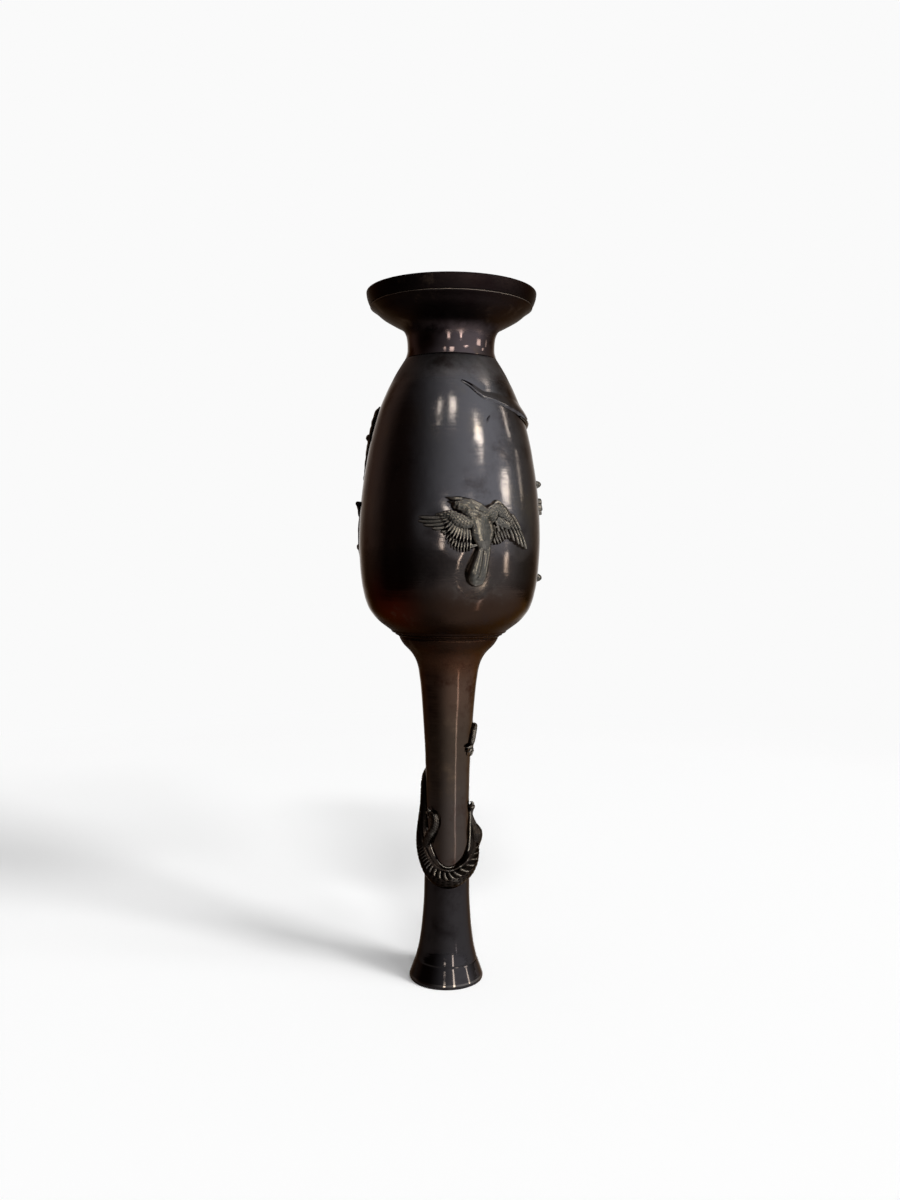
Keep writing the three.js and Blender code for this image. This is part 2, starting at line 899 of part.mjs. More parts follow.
function leg({ limb: rows, toes }) {
  const [a0, s0] = rows.at(-1);
  const towards = ([a, share], t) => [a0 + (a - a0) * t, s0 + (share - s0) * t];
  const claws = toes.map((tip) => [
    [...towards(tip, -0.25), 0.35, 0.55],
    [...towards(tip, 0.6), 0.3, 0.5],
    [...tip, 0.08, 0.15],
  ]);
  const place = onStem(LEG_W, LEG_H);
  return joined([
    ridge(stemSurface, rows.map(place), 6, ARCH),
    ...claws.map((claw) => ridge(stemSurface, claw.map(place), 2, CLAW, 0, GAP * 0.4)),
  ]).subtract(dragonSpace);
}

// Head: skull and snout, lower jaw, two horns and beard, looking up and round the stem. Rows are
// angle, height over the end of the neck as a share of a leg's half width, and shares as before
const neckZ = dragonTrail.at(1).z;
const HEAD = [
  [
    [-202, -0.14, 0.9, 0.9],
    [-192, 1.37, 1.15, 1.3],
    [-180, 2.42, 1.1, 1.35],
    [-167, 2.87, 0.8, 0.95],
    [-158, 2.96, 0.8, 1],
    [-153, 2.87, 0.35, 0.5],
  ],
  [
    [-190, 0.46, 0.75, 0.9],
    [-176, 0.87, 0.6, 0.75],
    [-162, 1.32, 0.25, 0.3],
  ],
  [
    [-184, 3.42, 0.4, 0.7],
    [-196, 5.24, 0.35, 0.5],
    [-210, 5.93, 0.1, 0.15],
  ],
  [
    [-192, 2.51, 0.35, 1.1],
    [-203, 3.65, 0.3, 0.7],
    [-216, 3.42, 0.1, 0.15],
  ],
  [
    [-172, 1.05, 0.4, 0.6],
    [-166, -0.68, 0.3, 0.4],
    [-171, -2.14, 0.1, 0.15],
  ],
];

function onNeck([a, rise, w, h]) {
  return [a, neckZ + LEG_W * rise, LEG_W * w, LEG_H * h];
}

const eyeRows = [
  [LEG_H, LEG_W * 0.4],
  [LEG_H * 1.6, LEG_W * 0.35],
  [LEG_H * 1.8, LEG_W * 0.15],
];
const dragonHead = joined([
  ...HEAD.map((rows, i) => ridge(stemSurface, rows.map(onNeck), 5, ARCH, 0, GAP * 0.2 * i)),
  post(stemSurface, -181, neckZ + LEG_W * 3.19, eyeRows, 7),
]).subtract(dragonSpace);

const bodyStuds = [...BIRD_STUDS, ...TRUNK_STUDS, ...UPPER_STUDS, ...LOWER_STUDS];
const bodyHoles = joined(bodyStuds.map((place) => studHole(bodyOuter, place, BODY_WALL)));
const stemHoles = joined(DRAGON_STUDS.map((place) => studHole(stemSurface, place, dragonWall)));
const bodyShell = bodyBlank.subtract(bodyHoles);

// Scene graph: one named mesh for each casting
const neckBronze = { color: 0x3a2a24, roughness: 0.3, metalness: 1 };
const bodyBronze = { color: 0x35332f, roughness: 0.33, metalness: 1 };
const stemBronze = { color: 0x3f2519, roughness: 0.3, metalness: 1 };
const footBronze = { color: 0x29272a, roughness: 0.28, metalness: 1 };
const reliefBronze = { color: 0x45453a, roughness: 0.45, metalness: 1 };
const group = new THREE.Group();
group.name = "bud_vase";

function place(name, shape, finish) {
  const { vertProperties, triVerts } = shape.getMesh();
  const geometry = new THREE.BufferGeometry();
  geometry.setAttribute("position", new THREE.BufferAttribute(vertProperties, 3));
  geometry.setIndex(new THREE.BufferAttribute(triVerts, 1));
  geometry.computeVertexNormals();
  const mesh = new THREE.Mesh(geometry, new THREE.MeshStandardMaterial(finish));
  mesh.name = name;
  group.add(mesh);
}

place("mouth_and_neck", mouthSection, neckBronze);
place("body_shell", bodyShell, bodyBronze);
place("stem", stemSection.subtract(stemHoles), stemBronze);
place("foot", footSection, footBronze);
place("base_plate", basePlate, footBronze);
place("bird", bird, reliefBronze);
place("plum_trunk", trunk, reliefBronze);
place("plum_upper_bough", upperBough, reliefBronze);
place("plum_lower_bough", lowerBough, reliefBronze);
BLOSSOMS.forEach((spot, i) => place(`plum_blossom_${i + 1}`, blossom(spot), reliefBronze));
place("dragon_body", dragonBody, reliefBronze);
LEGS.forEach((spec) => place(spec.name, leg(spec), reliefBronze));
place("dragon_head", dragonHead, reliefBronze);

export default group;
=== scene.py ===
# %% [markdown]
# # A patinated bronze bud vase
#
# The vase is cast in sections that plug into each other, with a bird, a flowering plum and a
# dragon in relief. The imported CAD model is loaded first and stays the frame: each casting is made
# again here with finer facets and its small forms, on the same surfaces, and then gets its patina.

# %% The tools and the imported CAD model
import math

import bpy
import numpy as np
from mathutils import Matrix, Vector


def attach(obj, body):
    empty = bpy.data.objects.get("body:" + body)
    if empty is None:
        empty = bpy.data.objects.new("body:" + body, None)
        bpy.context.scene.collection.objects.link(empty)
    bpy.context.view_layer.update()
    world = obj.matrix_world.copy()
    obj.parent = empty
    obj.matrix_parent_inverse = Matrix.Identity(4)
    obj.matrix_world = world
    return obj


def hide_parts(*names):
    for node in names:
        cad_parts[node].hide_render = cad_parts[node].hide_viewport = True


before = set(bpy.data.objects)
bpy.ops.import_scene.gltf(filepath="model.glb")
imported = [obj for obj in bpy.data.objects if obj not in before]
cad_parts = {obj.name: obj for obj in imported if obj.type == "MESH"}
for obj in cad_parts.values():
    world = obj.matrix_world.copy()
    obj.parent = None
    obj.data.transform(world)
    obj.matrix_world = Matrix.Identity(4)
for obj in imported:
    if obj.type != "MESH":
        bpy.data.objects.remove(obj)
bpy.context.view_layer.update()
MM = 0.001

# %% [markdown]
# ## Colours and nodes
#
# Colours are written as sRGB hex codes, because those can be compared with a picture. Shaders
# reckon in linear light, so one function turns every code to linear. A second one adds a node with
# its settings and links, which keeps a node tree as short to read as a recipe.


# %% Colours and nodes
def linear(code):
    """A #rrggbb colour as linear red, green, blue and alpha."""
    parts = [int(code[i : i + 2], 16) / 255 for i in (1, 3, 5)]
    return [c / 12.92 if c <= 0.04045 else ((c + 0.055) / 1.055) ** 2.4 for c in parts] + [1]


def add(tree, kind, inputs=None, **settings):
    """Adds a node, sets each input or links it to a socket, and gives the node's outputs."""
    made = tree.nodes.new(kind)
    for key, value in settings.items():
        setattr(made, key, value)
    for key, value in (inputs or {}).items():
        if isinstance(value, bpy.types.NodeSocket):
            tree.links.new(value, made.inputs[key])
        else:
            made.inputs[key].default_value = value
    return made.outputs


print("linear('#808080') is", [round(c, 3) for c in linear("#808080")])

# %% [markdown]
# ## Patinated bronze
#
# Bronze is coloured by brushing hot liver of sulphur on it and waxing it. The metal then carries a
# dark film, so the surface still reflects as metal does, but in the film's colour. Where the film
# is thick it is nearly black, and where hands and cloths rub it, it thins to brown. One function
# makes every casting's patina from its colours, as these differ only in tone and in how they were
# finished. It is put together from four short ones: a soft border between two tones, the film's
# colour, its shine and its small unevenness.


# %% A soft border between two tones
def blend(tree, share, low, high, start, end, most=1.0):
    """A share that rises softly from 0 at low to most at high, and the colour it mixes."""
    rise = {"Value": share, "From Min": low, "From Max": high, "To Max": most}
    reach = add(tree, "ShaderNodeMapRange", rise, interpolation_type="SMOOTHSTEP")["Result"]
    return reach, add(tree, "ShaderNodeMix", {0: reach, 6: start, 7: end}, data_type="RGBA")[2]


print("blend: one Map Range and one Mix node for each border")

# %% [markdown]
# ### The film's colour
#
# The film's colour changes with height: the body darkens towards its bottom, the stem towards
# its top under the body, the mouth above the neck, and the relief from the bird down to the
# dragon. Clouds in the film are a noise of a few centimetres, and they also bend the borders
# between heights. A painted mask would do as well, but it would fit only one mesh. On the reliefs
# a measure of each vertex, reckoned further down, pales the crests by wear and darkens the
# hollows, as dark patina and painted shade together.

# %% The film's colour
BORDER_BEND_MM = 16
RED_PATCH_MOST = 0.8
CLOUDS_THICK, CLOUDS_THIN = (0.5, 0.28), (0.54, 0.76)
# Tones by the wear attribute: hollows near black, as dark patina and painted shade together, and
# crests rubbed paler.
WEAR_AND_SHADE_TONES = (0.5, 0.22, "#0c0a08"), (0.62, 0.98, "#6e6a64")


def film_colour(tree, place, height, clouds, films, thick, thin, red_patch, pale_band, worn_and_shaded):
    """Film colour by height, with clouds, a red patch, a pale band, wear and painted shade."""
    bend = {0: clouds, 1: BORDER_BEND_MM * MM}
    bend = add(tree, "ShaderNodeMath", bend, operation="MULTIPLY")[0]
    level = add(tree, "ShaderNodeMath", {0: height, 1: bend}, operation="ADD")[0]
    colour = linear(films[0][1])
    for (low, _), (high, code) in zip(films, films[1:]):
        border = [(h + BORDER_BEND_MM / 2) * MM for h in (low, high)]
        colour = blend(tree, level, *border, colour, linear(code))[1]
    # A red patch round a given place on the body, fading out over its size.
    if red_patch:
        middle, size, code = red_patch
        gap = {0: place, 1: [c * MM for c in middle]}
        away = add(tree, "ShaderNodeVectorMath", gap, operation="DISTANCE")["Value"]
        colour = blend(tree, away, size * MM, 0, colour, linear(code), RED_PATCH_MOST)[1]
    for ends, code in ((CLOUDS_THICK, thick), (CLOUDS_THIN, thin)):
        colour = blend(tree, clouds, *ends, colour, linear(code))[1]
    # A narrow paler band at a height: on the neck's bead it is a painted highlight.
    if pale_band:
        middle, size, code = pale_band
        band = {0: height, 1: middle * MM, 2: size * MM}
        edge = add(tree, "ShaderNodeMath", band, operation="COMPARE")[0]
        paled = {0: edge, 6: colour, 7: linear(code)}
        colour = add(tree, "ShaderNodeMix", paled, data_type="RGBA")[2]
    # Hollows darkened as dark patina and painted shade, crests paled by wear.
    if worn_and_shaded:
        wear_and_shade = add(tree, "ShaderNodeAttribute", attribute_name="wear_and_shade")["Fac"]
        for low, high, code in WEAR_AND_SHADE_TONES:
            colour = blend(tree, wear_and_shade, low, high, colour, linear(code))[1]
    return colour


print(f"film_colour: the borders wander by {BORDER_BEND_MM / 2:.0f} mm up and down")

# %% [markdown]
# ### Shine and unevenness
#
# A waxed film is glossy, less so along the cloth's strokes and nearly matt in corners where the
# wax dries without a polish. The eye reads the handwork from broken highlights, and they come from
# bumps: waves 9 mm long left by the scraper, lathe rings, strokes of the cloth and cast grain.
# Real rings and strokes are 0.1 mm and finer. They are drawn at 0.5 and 0.8 mm, because finer ones
# fall between the picture's pixels.

# %% Shine
MATT = 0.45


def shine(tree, height, strokes, gloss, dull):
    """Roughness along the strokes, and matt in bands of (starts, full, full, ends) in mm."""
    spread = {"Value": strokes, "To Min": gloss[0], "To Max": gloss[1]}
    rough = add(tree, "ShaderNodeMapRange", spread)["Result"]
    for starts, full, still, ends in dull:
        sides = []
        for a, b in ((starts, full), (ends, still)):
            rise = {"Value": height, "From Min": a * MM, "From Max": b * MM, "To Max": MATT}
            side = add(tree, "ShaderNodeMapRange", rise, interpolation_type="SMOOTHSTEP")
            sides.append(side["Result"])
        matt = add(tree, "ShaderNodeMath", dict(enumerate(sides)), operation="MINIMUM")[0]
        rough = add(tree, "ShaderNodeMath", {0: rough, 1: matt}, operation="MAXIMUM")[0]
    return rough


print("shine: roughness of dry wax", MATT)

# %% Unevenness
WAVE_MM, GRAIN_MM, RING_MM, STROKE_MM = 9, 0.5, 0.5, 0.8
WAVE_DEPTH, STROKE_DEPTH = 0.15, 0.02
STROKE_STRETCH = (0.07, 0.07, 1)


def uneven(tree, place, strokes, ring, grain):
    """The normal, from bumps whose depths are given in mm."""
    around = add(tree, "ShaderNodeMapping", {"Vector": place, "Scale": (0, 0, 1)})["Vector"]
    normal = None
    for where, size, detail, depth in (
        (place, WAVE_MM, 2.2, WAVE_DEPTH), (place, GRAIN_MM, 4, grain),
        (around, RING_MM, 2, ring), (None, STROKE_MM, 3, STROKE_DEPTH),
    ):
        if not depth:
            continue
        pattern = strokes
        if where:
            noise = {"Vector": where, "Scale": 1 / (size * MM), "Detail": detail}
            pattern = add(tree, "ShaderNodeTexNoise", noise)["Fac"]
        bump = {"Height": pattern, "Strength": 1, "Distance": depth * MM}
        if normal:
            bump["Normal"] = normal
        normal = add(tree, "ShaderNodeBump", bump)["Normal"]
    return normal


print(f"waves {WAVE_MM} mm, strokes {STROKE_MM} mm, rings {RING_MM} mm, cast grain {GRAIN_MM} mm")

# %% [markdown]
# ### A patina
#
# On real bronze, wax and dust keep the outline from flashing white. An edge tint does the same
# here, and it is a slight one, because a strong one would blacken the outline.

# %% A patina
EDGE_TINT = "#c2b8b0"


def patina(
    name, thick, films, thin, gloss, patch_mm, ring=0, grain=0, red_patch=None, dull=(), pale_band=None,
    worn_and_shaded=False,
):
    """Bronze under a sulphide film. films are its (height in mm, colour) from the bottom up, thick
    and thin its colours where it gathered and where it is rubbed, gloss the lowest and highest
    roughness, patch_mm the size of its clouds, ring and grain the depth of lathe rings and of cast
    grain in mm, then the place in mm, size in mm and colour of a red patch, dull the bands of dry
    wax by heights in mm, then the height, half width and colour of a narrow paler band, which on
    the neck is a painted highlight, and last whether each vertex carries its wear, which pales
    the crests and darkens the hollows, as dark patina and painted shade together."""
    made = bpy.data.materials.new(name)
    made.use_nodes = True
    tree = made.node_tree
    shader = tree.nodes["Principled BSDF"]
    shader.inputs["Metallic"].default_value = 1
    shader.inputs["Specular Tint"].default_value = linear(EDGE_TINT)
    place = add(tree, "ShaderNodeTexCoord")["Object"]
    height = add(tree, "ShaderNodeSeparateXYZ", {"Vector": place})["Z"]
    patches = {"Vector": place, "Scale": 1 / (patch_mm * MM), "Detail": 6, "Roughness": 0.68}
    clouds = add(tree, "ShaderNodeTexNoise", patches)["Fac"]
    cloth = add(tree, "ShaderNodeMapping", {"Vector": place, "Scale": STROKE_STRETCH})["Vector"]
    lines = {"Vector": cloth, "Scale": 1 / (STROKE_MM * MM), "Detail": 3}
    strokes = add(tree, "ShaderNodeTexNoise", lines)["Fac"]
    colour = film_colour(tree, place, height, clouds, films, thick, thin, red_patch, pale_band, worn_and_shaded)
    tree.links.new(colour, shader.inputs["Base Color"])
    tree.links.new(shine(tree, height, strokes, gloss, dull), shader.inputs["Roughness"])
    tree.links.new(uneven(tree, place, strokes, ring, grain), shader.inputs["Normal"])
    print(f"{name}: clouds of {patch_mm} mm, roughness {gloss[0]} to {gloss[1]}")
    return made


# %% [markdown]
# ### The five finishes
#
# Each section was patinated by itself before the vase was put together, which is why the tone
# jumps at the joints. The colours were compared with the photograph under the same light.

# %% The five finishes
# Turned and waxed to a mirror: small sharp highlights and a dish that is nearly black inside.
# The pale band along the bead under the lip is a painted highlight.
NECK = patina(
    "Bronze, purple-brown patina, turned and waxed",
    "#1a1213", [(226, "#4c4446"), (233, "#463e40"), (238, "#1e1818")], "#5c4e44",
    (0.05, 0.11), 16, ring=0.018, dull=[(231, 236, 251, 252)], pale_band=(244.72, 0.2, "#756c66"),
)
# Scraped, not turned: wide silky highlights on slate, brown low down, and a red patch low on the
# left front.
BODY = patina(
    "Bronze, slate patina, scraped and waxed",
    "#2e2828",
    [(128, "#221610"), (138, "#33261f"), (152, "#443e3c"), (162, "#4c494a"), (176, "#565558")],
    "#5f5b56", (0.06, 0.2), 30, grain=0.012,
    red_patch=((-20, -22, 140), 16, "#5a1c08"), dull=[(211, 221, 226, 227), (126, 127, 131, 137)],
)
# Thinner film over turned metal: a warm brown glow with fine rings.
STEM = patina(
    "Bronze, red-brown patina, turned and waxed",
    "#2e160d",
    [(60, "#463e3a"), (90, "#453a32"), (108, "#503e34"), (117, "#452f23"), (125, "#2c1e17")],
    "#5e4f42", (0.08, 0.17), 15, ring=0.008, dull=[(112, 118, 128, 130)],
)
# The thickest film, polished: black with hard thin highlights, and paler in a band at the edge it
# stands on.
FOOT = patina(
    "Bronze, black patina, turned and waxed",
    "#171213", [(0, "#343234"), (40, "#322f30")], "#434040", (0.04, 0.11), 30, ring=0.006,
    pale_band=(1.5, 0.3, "#5a5654"),
)
# As cast and chased: a duller olive whose crests are rubbed paler and whose hollows are near black,
# as dark patina and painted shade together.
RELIEF = patina(
    "Bronze, olive patina, cast and chased",
    "#26231f", [(60, "#25201d"), (120, "#53514d")], "#605d59", (0.12, 0.28), 6, grain=0.05,
    worn_and_shaded=True,
)

# %% [markdown]
# ## Turned sections
#
# Mouth, body, stem and foot were cast and then turned on a lathe, so each is one closed outline
# swept round the axis. The outlines are in millimetres and made smooth with a Catmull-Rom curve.
# A Screw modifier could sweep them, but a mesh built in code keeps the seams exactly shut.


# %% A smooth outline
def smooth(points, step=0.6):
    """Catmull-Rom curve through points, about one point every step millimetres."""
    rows = np.array([points[0], *points, points[-1]], float)
    made = []
    for p0, p1, p2, p3 in zip(rows, rows[1:], rows[2:], rows[3:]):
        count = max(2, round(math.dist(p1, p2) / step))
        t = np.arange(count)[:, None] / count
        bend = 2 * p0 - 5 * p1 + 4 * p2 - p3
        twist = 3 * p1 - p0 - 3 * p2 + p3
        made.append(0.5 * (2 * p1 + (p2 - p0) * t + bend * t**2 + twist * t**3))
    return [tuple(p) for p in [*np.concatenate(made), rows[-1]]]


print("smooth: from 3 points of a quarter circle to", len(smooth([(0, 0), (7, 3), (10, 10)])))


# %% A piece from points and faces
def finish_piece(name, points, faces, material, nodes, sharp=None):
    """A mesh of points in mm, riding the root in place of CAD nodes."""
    mesh = bpy.data.meshes.new(name)
    mesh.from_pydata((np.asarray(points) * MM).tolist(), [], faces)
    mesh.validate()
    mesh.shade_smooth()
    if sharp:
        mesh.set_sharp_from_angle(angle=math.radians(sharp))
    mesh.materials.append(material)
    made = bpy.data.objects.new(name, mesh)
    bpy.context.collection.objects.link(made)
    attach(made, "root")
    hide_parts(*nodes)
    return made


print("finish_piece: points in mm, smooth shading, riding the root")


# %% A section off the lathe
SHARP = 32  # degrees from which an edge looks cut


def quads(rows, ring, next_row):
    """Faces between rings of points: each row joins the next one, whose number next_row gives."""
    k, i = np.meshgrid(np.arange(rows), np.arange(ring), indexing="ij")
    j, m = (i + 1) % ring, next_row(k)
    return np.stack([k * ring + i, k * ring + j, m * ring + j, m * ring + i], -1).reshape(-1, 4)


def turned(name, outline, material, node, steps=240, after=None):
    """A closed (r, z) outline turned about the axis, and what is done to its points after."""
    rows = np.array(outline)
    turn = 2 * np.pi * np.arange(steps)[:, None] / steps
    r, z = rows[:, 0], rows[:, 1]
    points = [r * np.cos(turn), r * np.sin(turn), np.broadcast_to(z, (steps, len(z)))]
    points = np.stack(points, -1).reshape(-1, 3)
    if after:
        points = after(points)
    faces = quads(steps, len(rows), lambda k: (k + 1) % steps).tolist()
    finish_piece(name, points, faces, material, [node], SHARP)
    print(f"{name}: {r.max():.1f} mm radius, {z.min():.1f} to {z.max():.1f} mm high")


# %% [markdown]
# ### Mouth and neck
#
# A shallow dish with a thin lip. Under the lip a fine bead runs round the dish, which catches a
# thin line of light, and the neck's patina adds a painted highlight along it.

# %% Mouth and neck
MOUTH_PROFILE = smooth([
    (28.75, 244.3), (27.2, 243.2), (24.9, 241.3), (21.3, 239.2), (17.6, 237.1), (16.2, 234.9),
    (15.8, 232.8), (15.65, 230.7), (15.75, 228.5), (16.35, 226.5), (16.5, 226.1),
])
MOUTH_INNER = smooth([
    (13.8, 220), (13.8, 229), (13.9, 233), (14.6, 236.8), (18.4, 240.4), (23, 243.1),
    (26.6, 245.7), (28.4, 248.4), (28.95, 249.7),
])
LIP = smooth([
    (29.15, 249.95), (29.6, 250), (30.1, 249.95), (30.4, 249.6), (30.42, 249), (30.2, 247.7),
    (29.75, 246.3), (29.2, 245.15),
], 0.25)
BEAD = smooth([
    (29.1, 245.05), (28.78, 244.98), (28.85, 244.82), (29.05, 244.68), (29.05, 244.5),
    (28.8, 244.38),
], 0.12)
NECK_SPIGOT = [(15, 226.05), (15, 220)]
turned(
    "mouth_and_neck_turned", [*LIP, *BEAD, *MOUTH_PROFILE, *NECK_SPIGOT, *MOUTH_INNER],
    NECK, "mouth_and_neck",
)

# %% [markdown]
# ### Ground round the bird
#
# The wall was cut back round the bird so that it stands out, which leaves a shallow trough round
# its tail and under its wings. The slopes of the trough catch the windows as pale streaks.

# %% Distance from a line
def nearest(u, v, line):
    """For each point: the share of the line nearest to it, and how far it lies to the left."""
    line = np.array(line, float)
    best = np.full(u.shape, np.inf)
    share, side = np.zeros(u.shape), np.zeros(u.shape)
    for k, (p, q) in enumerate(zip(line, line[1:])):
        d = q - p
        t = np.clip(((u - p[0]) * d[0] + (v - p[1]) * d[1]) / (d @ d), 0, 1)
        du, dv = u - p[0] - t * d[0], v - p[1] - t * d[1]
        gap = du**2 + dv**2
        near = gap < best
        best = np.where(near, gap, best)
        share = np.where(near, (k + t) / (len(line) - 1), share)
        side = np.where(near, np.sign(d[0] * dv - d[1] * du) * np.sqrt(gap), side)
    return share, side


print("nearest: 2 mm over a line is", nearest(*np.array([3, 2]), [(0, 0), (9, 0)])[1])

# %% The trough round the bird
BIRD_A, BIRD_V = 14, 163
BODY_R = 32.5
TROUGH, TROUGH_FLAT = 7, 0.4
BIRD_REACH = 30  # how far up and down the wall is cut
SKIN = 0.3  # how near to the profile a point has to be to lie on the outside
BIRD_LINES = [
    ([(3.4, 4), (2.4, -8), (1.2, -14)], 1.4, 0.85),
    ([(-14, 3.8), (-7, 1), (-3, -2.4), (0, -3)], 0.4, 0.45),
    ([(4, 0), (9, 0.4), (14, 1.5), (20, -1.5)], 0.4, 0.45),
]


def cut_back(points):
    """Sinks the outside of the body along lines of (points, half width, depth) near the bird."""
    x, y, z = points.T
    r = np.hypot(x, y)
    u = (np.arctan2(x, -y) - math.radians(BIRD_A)) * BODY_R
    v = z - BIRD_V
    drops = []
    for line, wide, deep in BIRD_LINES:
        away = np.abs(nearest(u, v, line)[1]) - wide
        share = np.clip((TROUGH - away) / (TROUGH - TROUGH_FLAT), 0, 1)
        drops.append(deep * share**2 * (3 - 2 * share))
    outer = np.abs(r - np.interp(z, *np.array(BODY_PROFILE)[::-1, ::-1].T)) < SKIN
    drop = np.max(drops, 0) * outer * (np.abs(v) < BIRD_REACH)
    return points * np.stack([1 - drop / r, 1 - drop / r, np.ones(len(r))], -1)


print(f"cut_back: a trough up to {BIRD_LINES[0][2]} mm deep and {TROUGH} mm wide round the bird")

# %% [markdown]
# ### Body
#
# An ovoid shell, 1.8 mm thick. Its cone-shaped floor ends in two fine raised rings, which hide the
# joint with the stem.

# %% Body
BODY_PROFILE = smooth([
    (16.35, 225.95), (16.7, 225.75), (17.7, 224.2), (19, 222.1), (20.2, 220), (21.3, 217.8),
    (22.4, 215.7), (23.4, 213.5), (24.9, 210), (26.3, 206), (27.4, 202), (28.4, 198), (29.3, 194),
    (30, 190), (30.7, 186), (31.3, 182), (31.8, 178), (32.2, 174), (32.5, 170), (32.7, 165),
    (32.75, 160), (32.55, 155), (32.2, 150), (31.7, 146), (31.2, 143.4), (30.3, 139.8),
    (28.7, 136.1), (25.7, 132.5), (22.4, 129.9), (21.2, 129.05),
])
BODY_RINGS = smooth([
    (21, 128.75), (20.85, 128.5), (20.6, 128.25), (19.9, 128.05), (19.5, 127.95),
    (19.45, 127.75), (19.5, 127.5), (19.2, 127.3), (18.6, 127.15), (18.4, 127),
], 0.15)
BODY_WALL, HOLLOW_FROM, HOLLOW_TO = 1.8, 134, 222
BODY_STEPS = 272  # more than elsewhere, for the trough
BODY_FLOOR = [(18.3, 126.65), (13.15, 126.65), (13.15, 129.2), (19.4, 129.9)]
BODY_INNER = [
    (r - BODY_WALL, z) for r, z in reversed(BODY_PROFILE) if HOLLOW_FROM < z < HOLLOW_TO
]
NECK_SOCKET = [(15.15, 222.8), (15.15, 225.95)]
turned(
    "body_shell_turned", [*BODY_PROFILE, *BODY_RINGS, *BODY_FLOOR, *BODY_INNER, *NECK_SOCKET],
    BODY, "body_shell", steps=BODY_STEPS, after=cut_back,
)

# %% [markdown]
# ### Stem and foot
#
# A slender hollow stem swells into a flange under the body, and a flared foot with one engraved
# line carries it.

# %% Stem
STEM_PROFILE = smooth([
    (17.55, 125.35), (17.1, 124.6), (16.2, 123.4), (13.6, 120.7), (11.9, 117.8), (11.05, 114.9),
    (10.6, 111.9), (10.2, 109), (9.65, 103), (9.2, 97), (8.7, 90), (8.4, 85), (8.2, 80),
    (8.05, 75), (8, 68), (8.05, 58), (8.15, 50), (8.25, 40.05),
])
FLANGE = [
    (13, 131.6), (13, 126.6), (17.5, 126.6), (17.8, 126.5), (17.9, 126.2), (17.85, 125.8),
    (17.65, 125.6),
]
STEM_BORE = [
    (7, 40.05), (7, 33), (5.6, 33), (5.6, 104), (7, 112), (8.6, 117.5), (11.2, 124), (11.2, 131.6),
]
turned("stem_turned", [*FLANGE, *STEM_PROFILE, *STEM_BORE], STEM, "stem")

# %% Foot
FOOT_PROFILE = smooth([
    (8.25, 39.95), (8.35, 35), (8.45, 30), (8.7, 25.4), (9.2, 19.3), (10, 13.3), (10.6, 10.3),
    (11.3, 7.5), (11.22, 7.35), (11.28, 7.2), (11.45, 7.05), (12.5, 4.2), (13.4, 1.7),
    (13.6, 1.1),
])
FOOT_INNER = [
    (13.58, 0.5), (13.45, 0.15), (13.2, 0), (11.15, 0), (11.15, 2.5), (9.6, 2.5), (7.6, 8),
    (6.3, 16), (5.6, 26), (5.6, 33), (7.15, 33), (7.15, 39.95),
]
turned("foot_turned", [*FOOT_PROFILE, *FOOT_INNER], FOOT, "foot")

# %% [markdown]
# ## Working on a turned surface
#
# Every relief lies on a turned section, so places are given as an angle from the front, a height
# and a lift above the surface. One class turns those to points. A second class follows a curve on
# the surface whose width and rise change along it: the plum's wood and the dragon are such trails.


# %% A turned surface
class Surface:
    """The outside of turned sections, as (r, z) points."""

    def __init__(self, outline):
        rows = np.array(sorted(outline, key=lambda p: p[1]))
        self.z = np.arange(rows[0, 1], rows[-1, 1], 0.5)
        self.r = np.interp(self.z, rows[:, 1], rows[:, 0])
        lean = np.gradient(self.r, self.z)
        self.lean = np.convolve(np.pad(lean, 2, "edge"), np.ones(5) / 5, "valid")

    def radius(self, z):
        return np.interp(z, self.z, self.r)

    def upright(self, z):
        """How upright the wall is: 1 where it is vertical."""
        return 1 / np.hypot(1, np.interp(z, self.z, self.lean))

    def points(self, angle, z, lift):
        """Points at an angle from the front, a height and a lift over the surface."""
        out = self.upright(z)
        reach = self.radius(z) + lift * out
        turn = np.radians(angle)
        high = z - lift * out * np.interp(z, self.z, self.lean)
        places = np.broadcast_arrays(reach * np.sin(turn), -reach * np.cos(turn), high)
        return np.stack(places, -1)


BODY_Z, BODY_H, STEM_Z, STEM_H = 126.6, 99.4, 40, 86.6  # feet and heights of the sections
FLANGE_Z = 125  # the stem's surface ends under its flange
BODY_SURFACE = Surface([*BODY_PROFILE, *BODY_RINGS[::8]])  # rings only roughly: nothing lies there
STEM_SURFACE = Surface([p for p in [*STEM_PROFILE, *FOOT_PROFILE] if p[1] < FLANGE_Z])
print(f"radius: belly {BODY_SURFACE.radius(160):.2f} mm, stem {STEM_SURFACE.radius(70):.2f} mm")


# %% A curve through rows of numbers
TINY = 1e-4  # for a step that must not be nothing


def flow(rows, t):
    """Centripetal Catmull-Rom curve through rows of numbers, at shares t of its spans."""
    rows = np.array(rows, float)
    rows = np.concatenate([[2 * rows[0] - rows[1]], rows, [2 * rows[-1] - rows[-2]]])
    place = np.clip(t, 0, 1) * (len(rows) - 3)
    k = np.minimum(place.astype(int), len(rows) - 4)
    w = (place - k)[..., None]
    p0, p1, p2, p3 = rows[k], rows[k + 1], rows[k + 2], rows[k + 3]
    d0, d1, d2 = [
        np.maximum(np.sum((q - p) ** 2, -1, keepdims=True) ** 0.25, TINY)
        for p, q in ((p0, p1), (p1, p2), (p2, p3))
    ]
    m1 = ((p1 - p0) / d0 - (p2 - p0) / (d0 + d1) + (p2 - p1) / d1) * d1
    m2 = ((p2 - p1) / d1 - (p3 - p1) / (d1 + d2) + (p3 - p2) / d2) * d1
    return p1 + m1 * w + (3 * (p2 - p1) - 2 * m1 - m2) * w**2 + (2 * (p1 - p2) + m1 + m2) * w**3


print("flow: halfway through 0, 1, 4 is", flow([[0, 0], [1, 0], [4, 0]], np.array([0.5]))[0, 0])


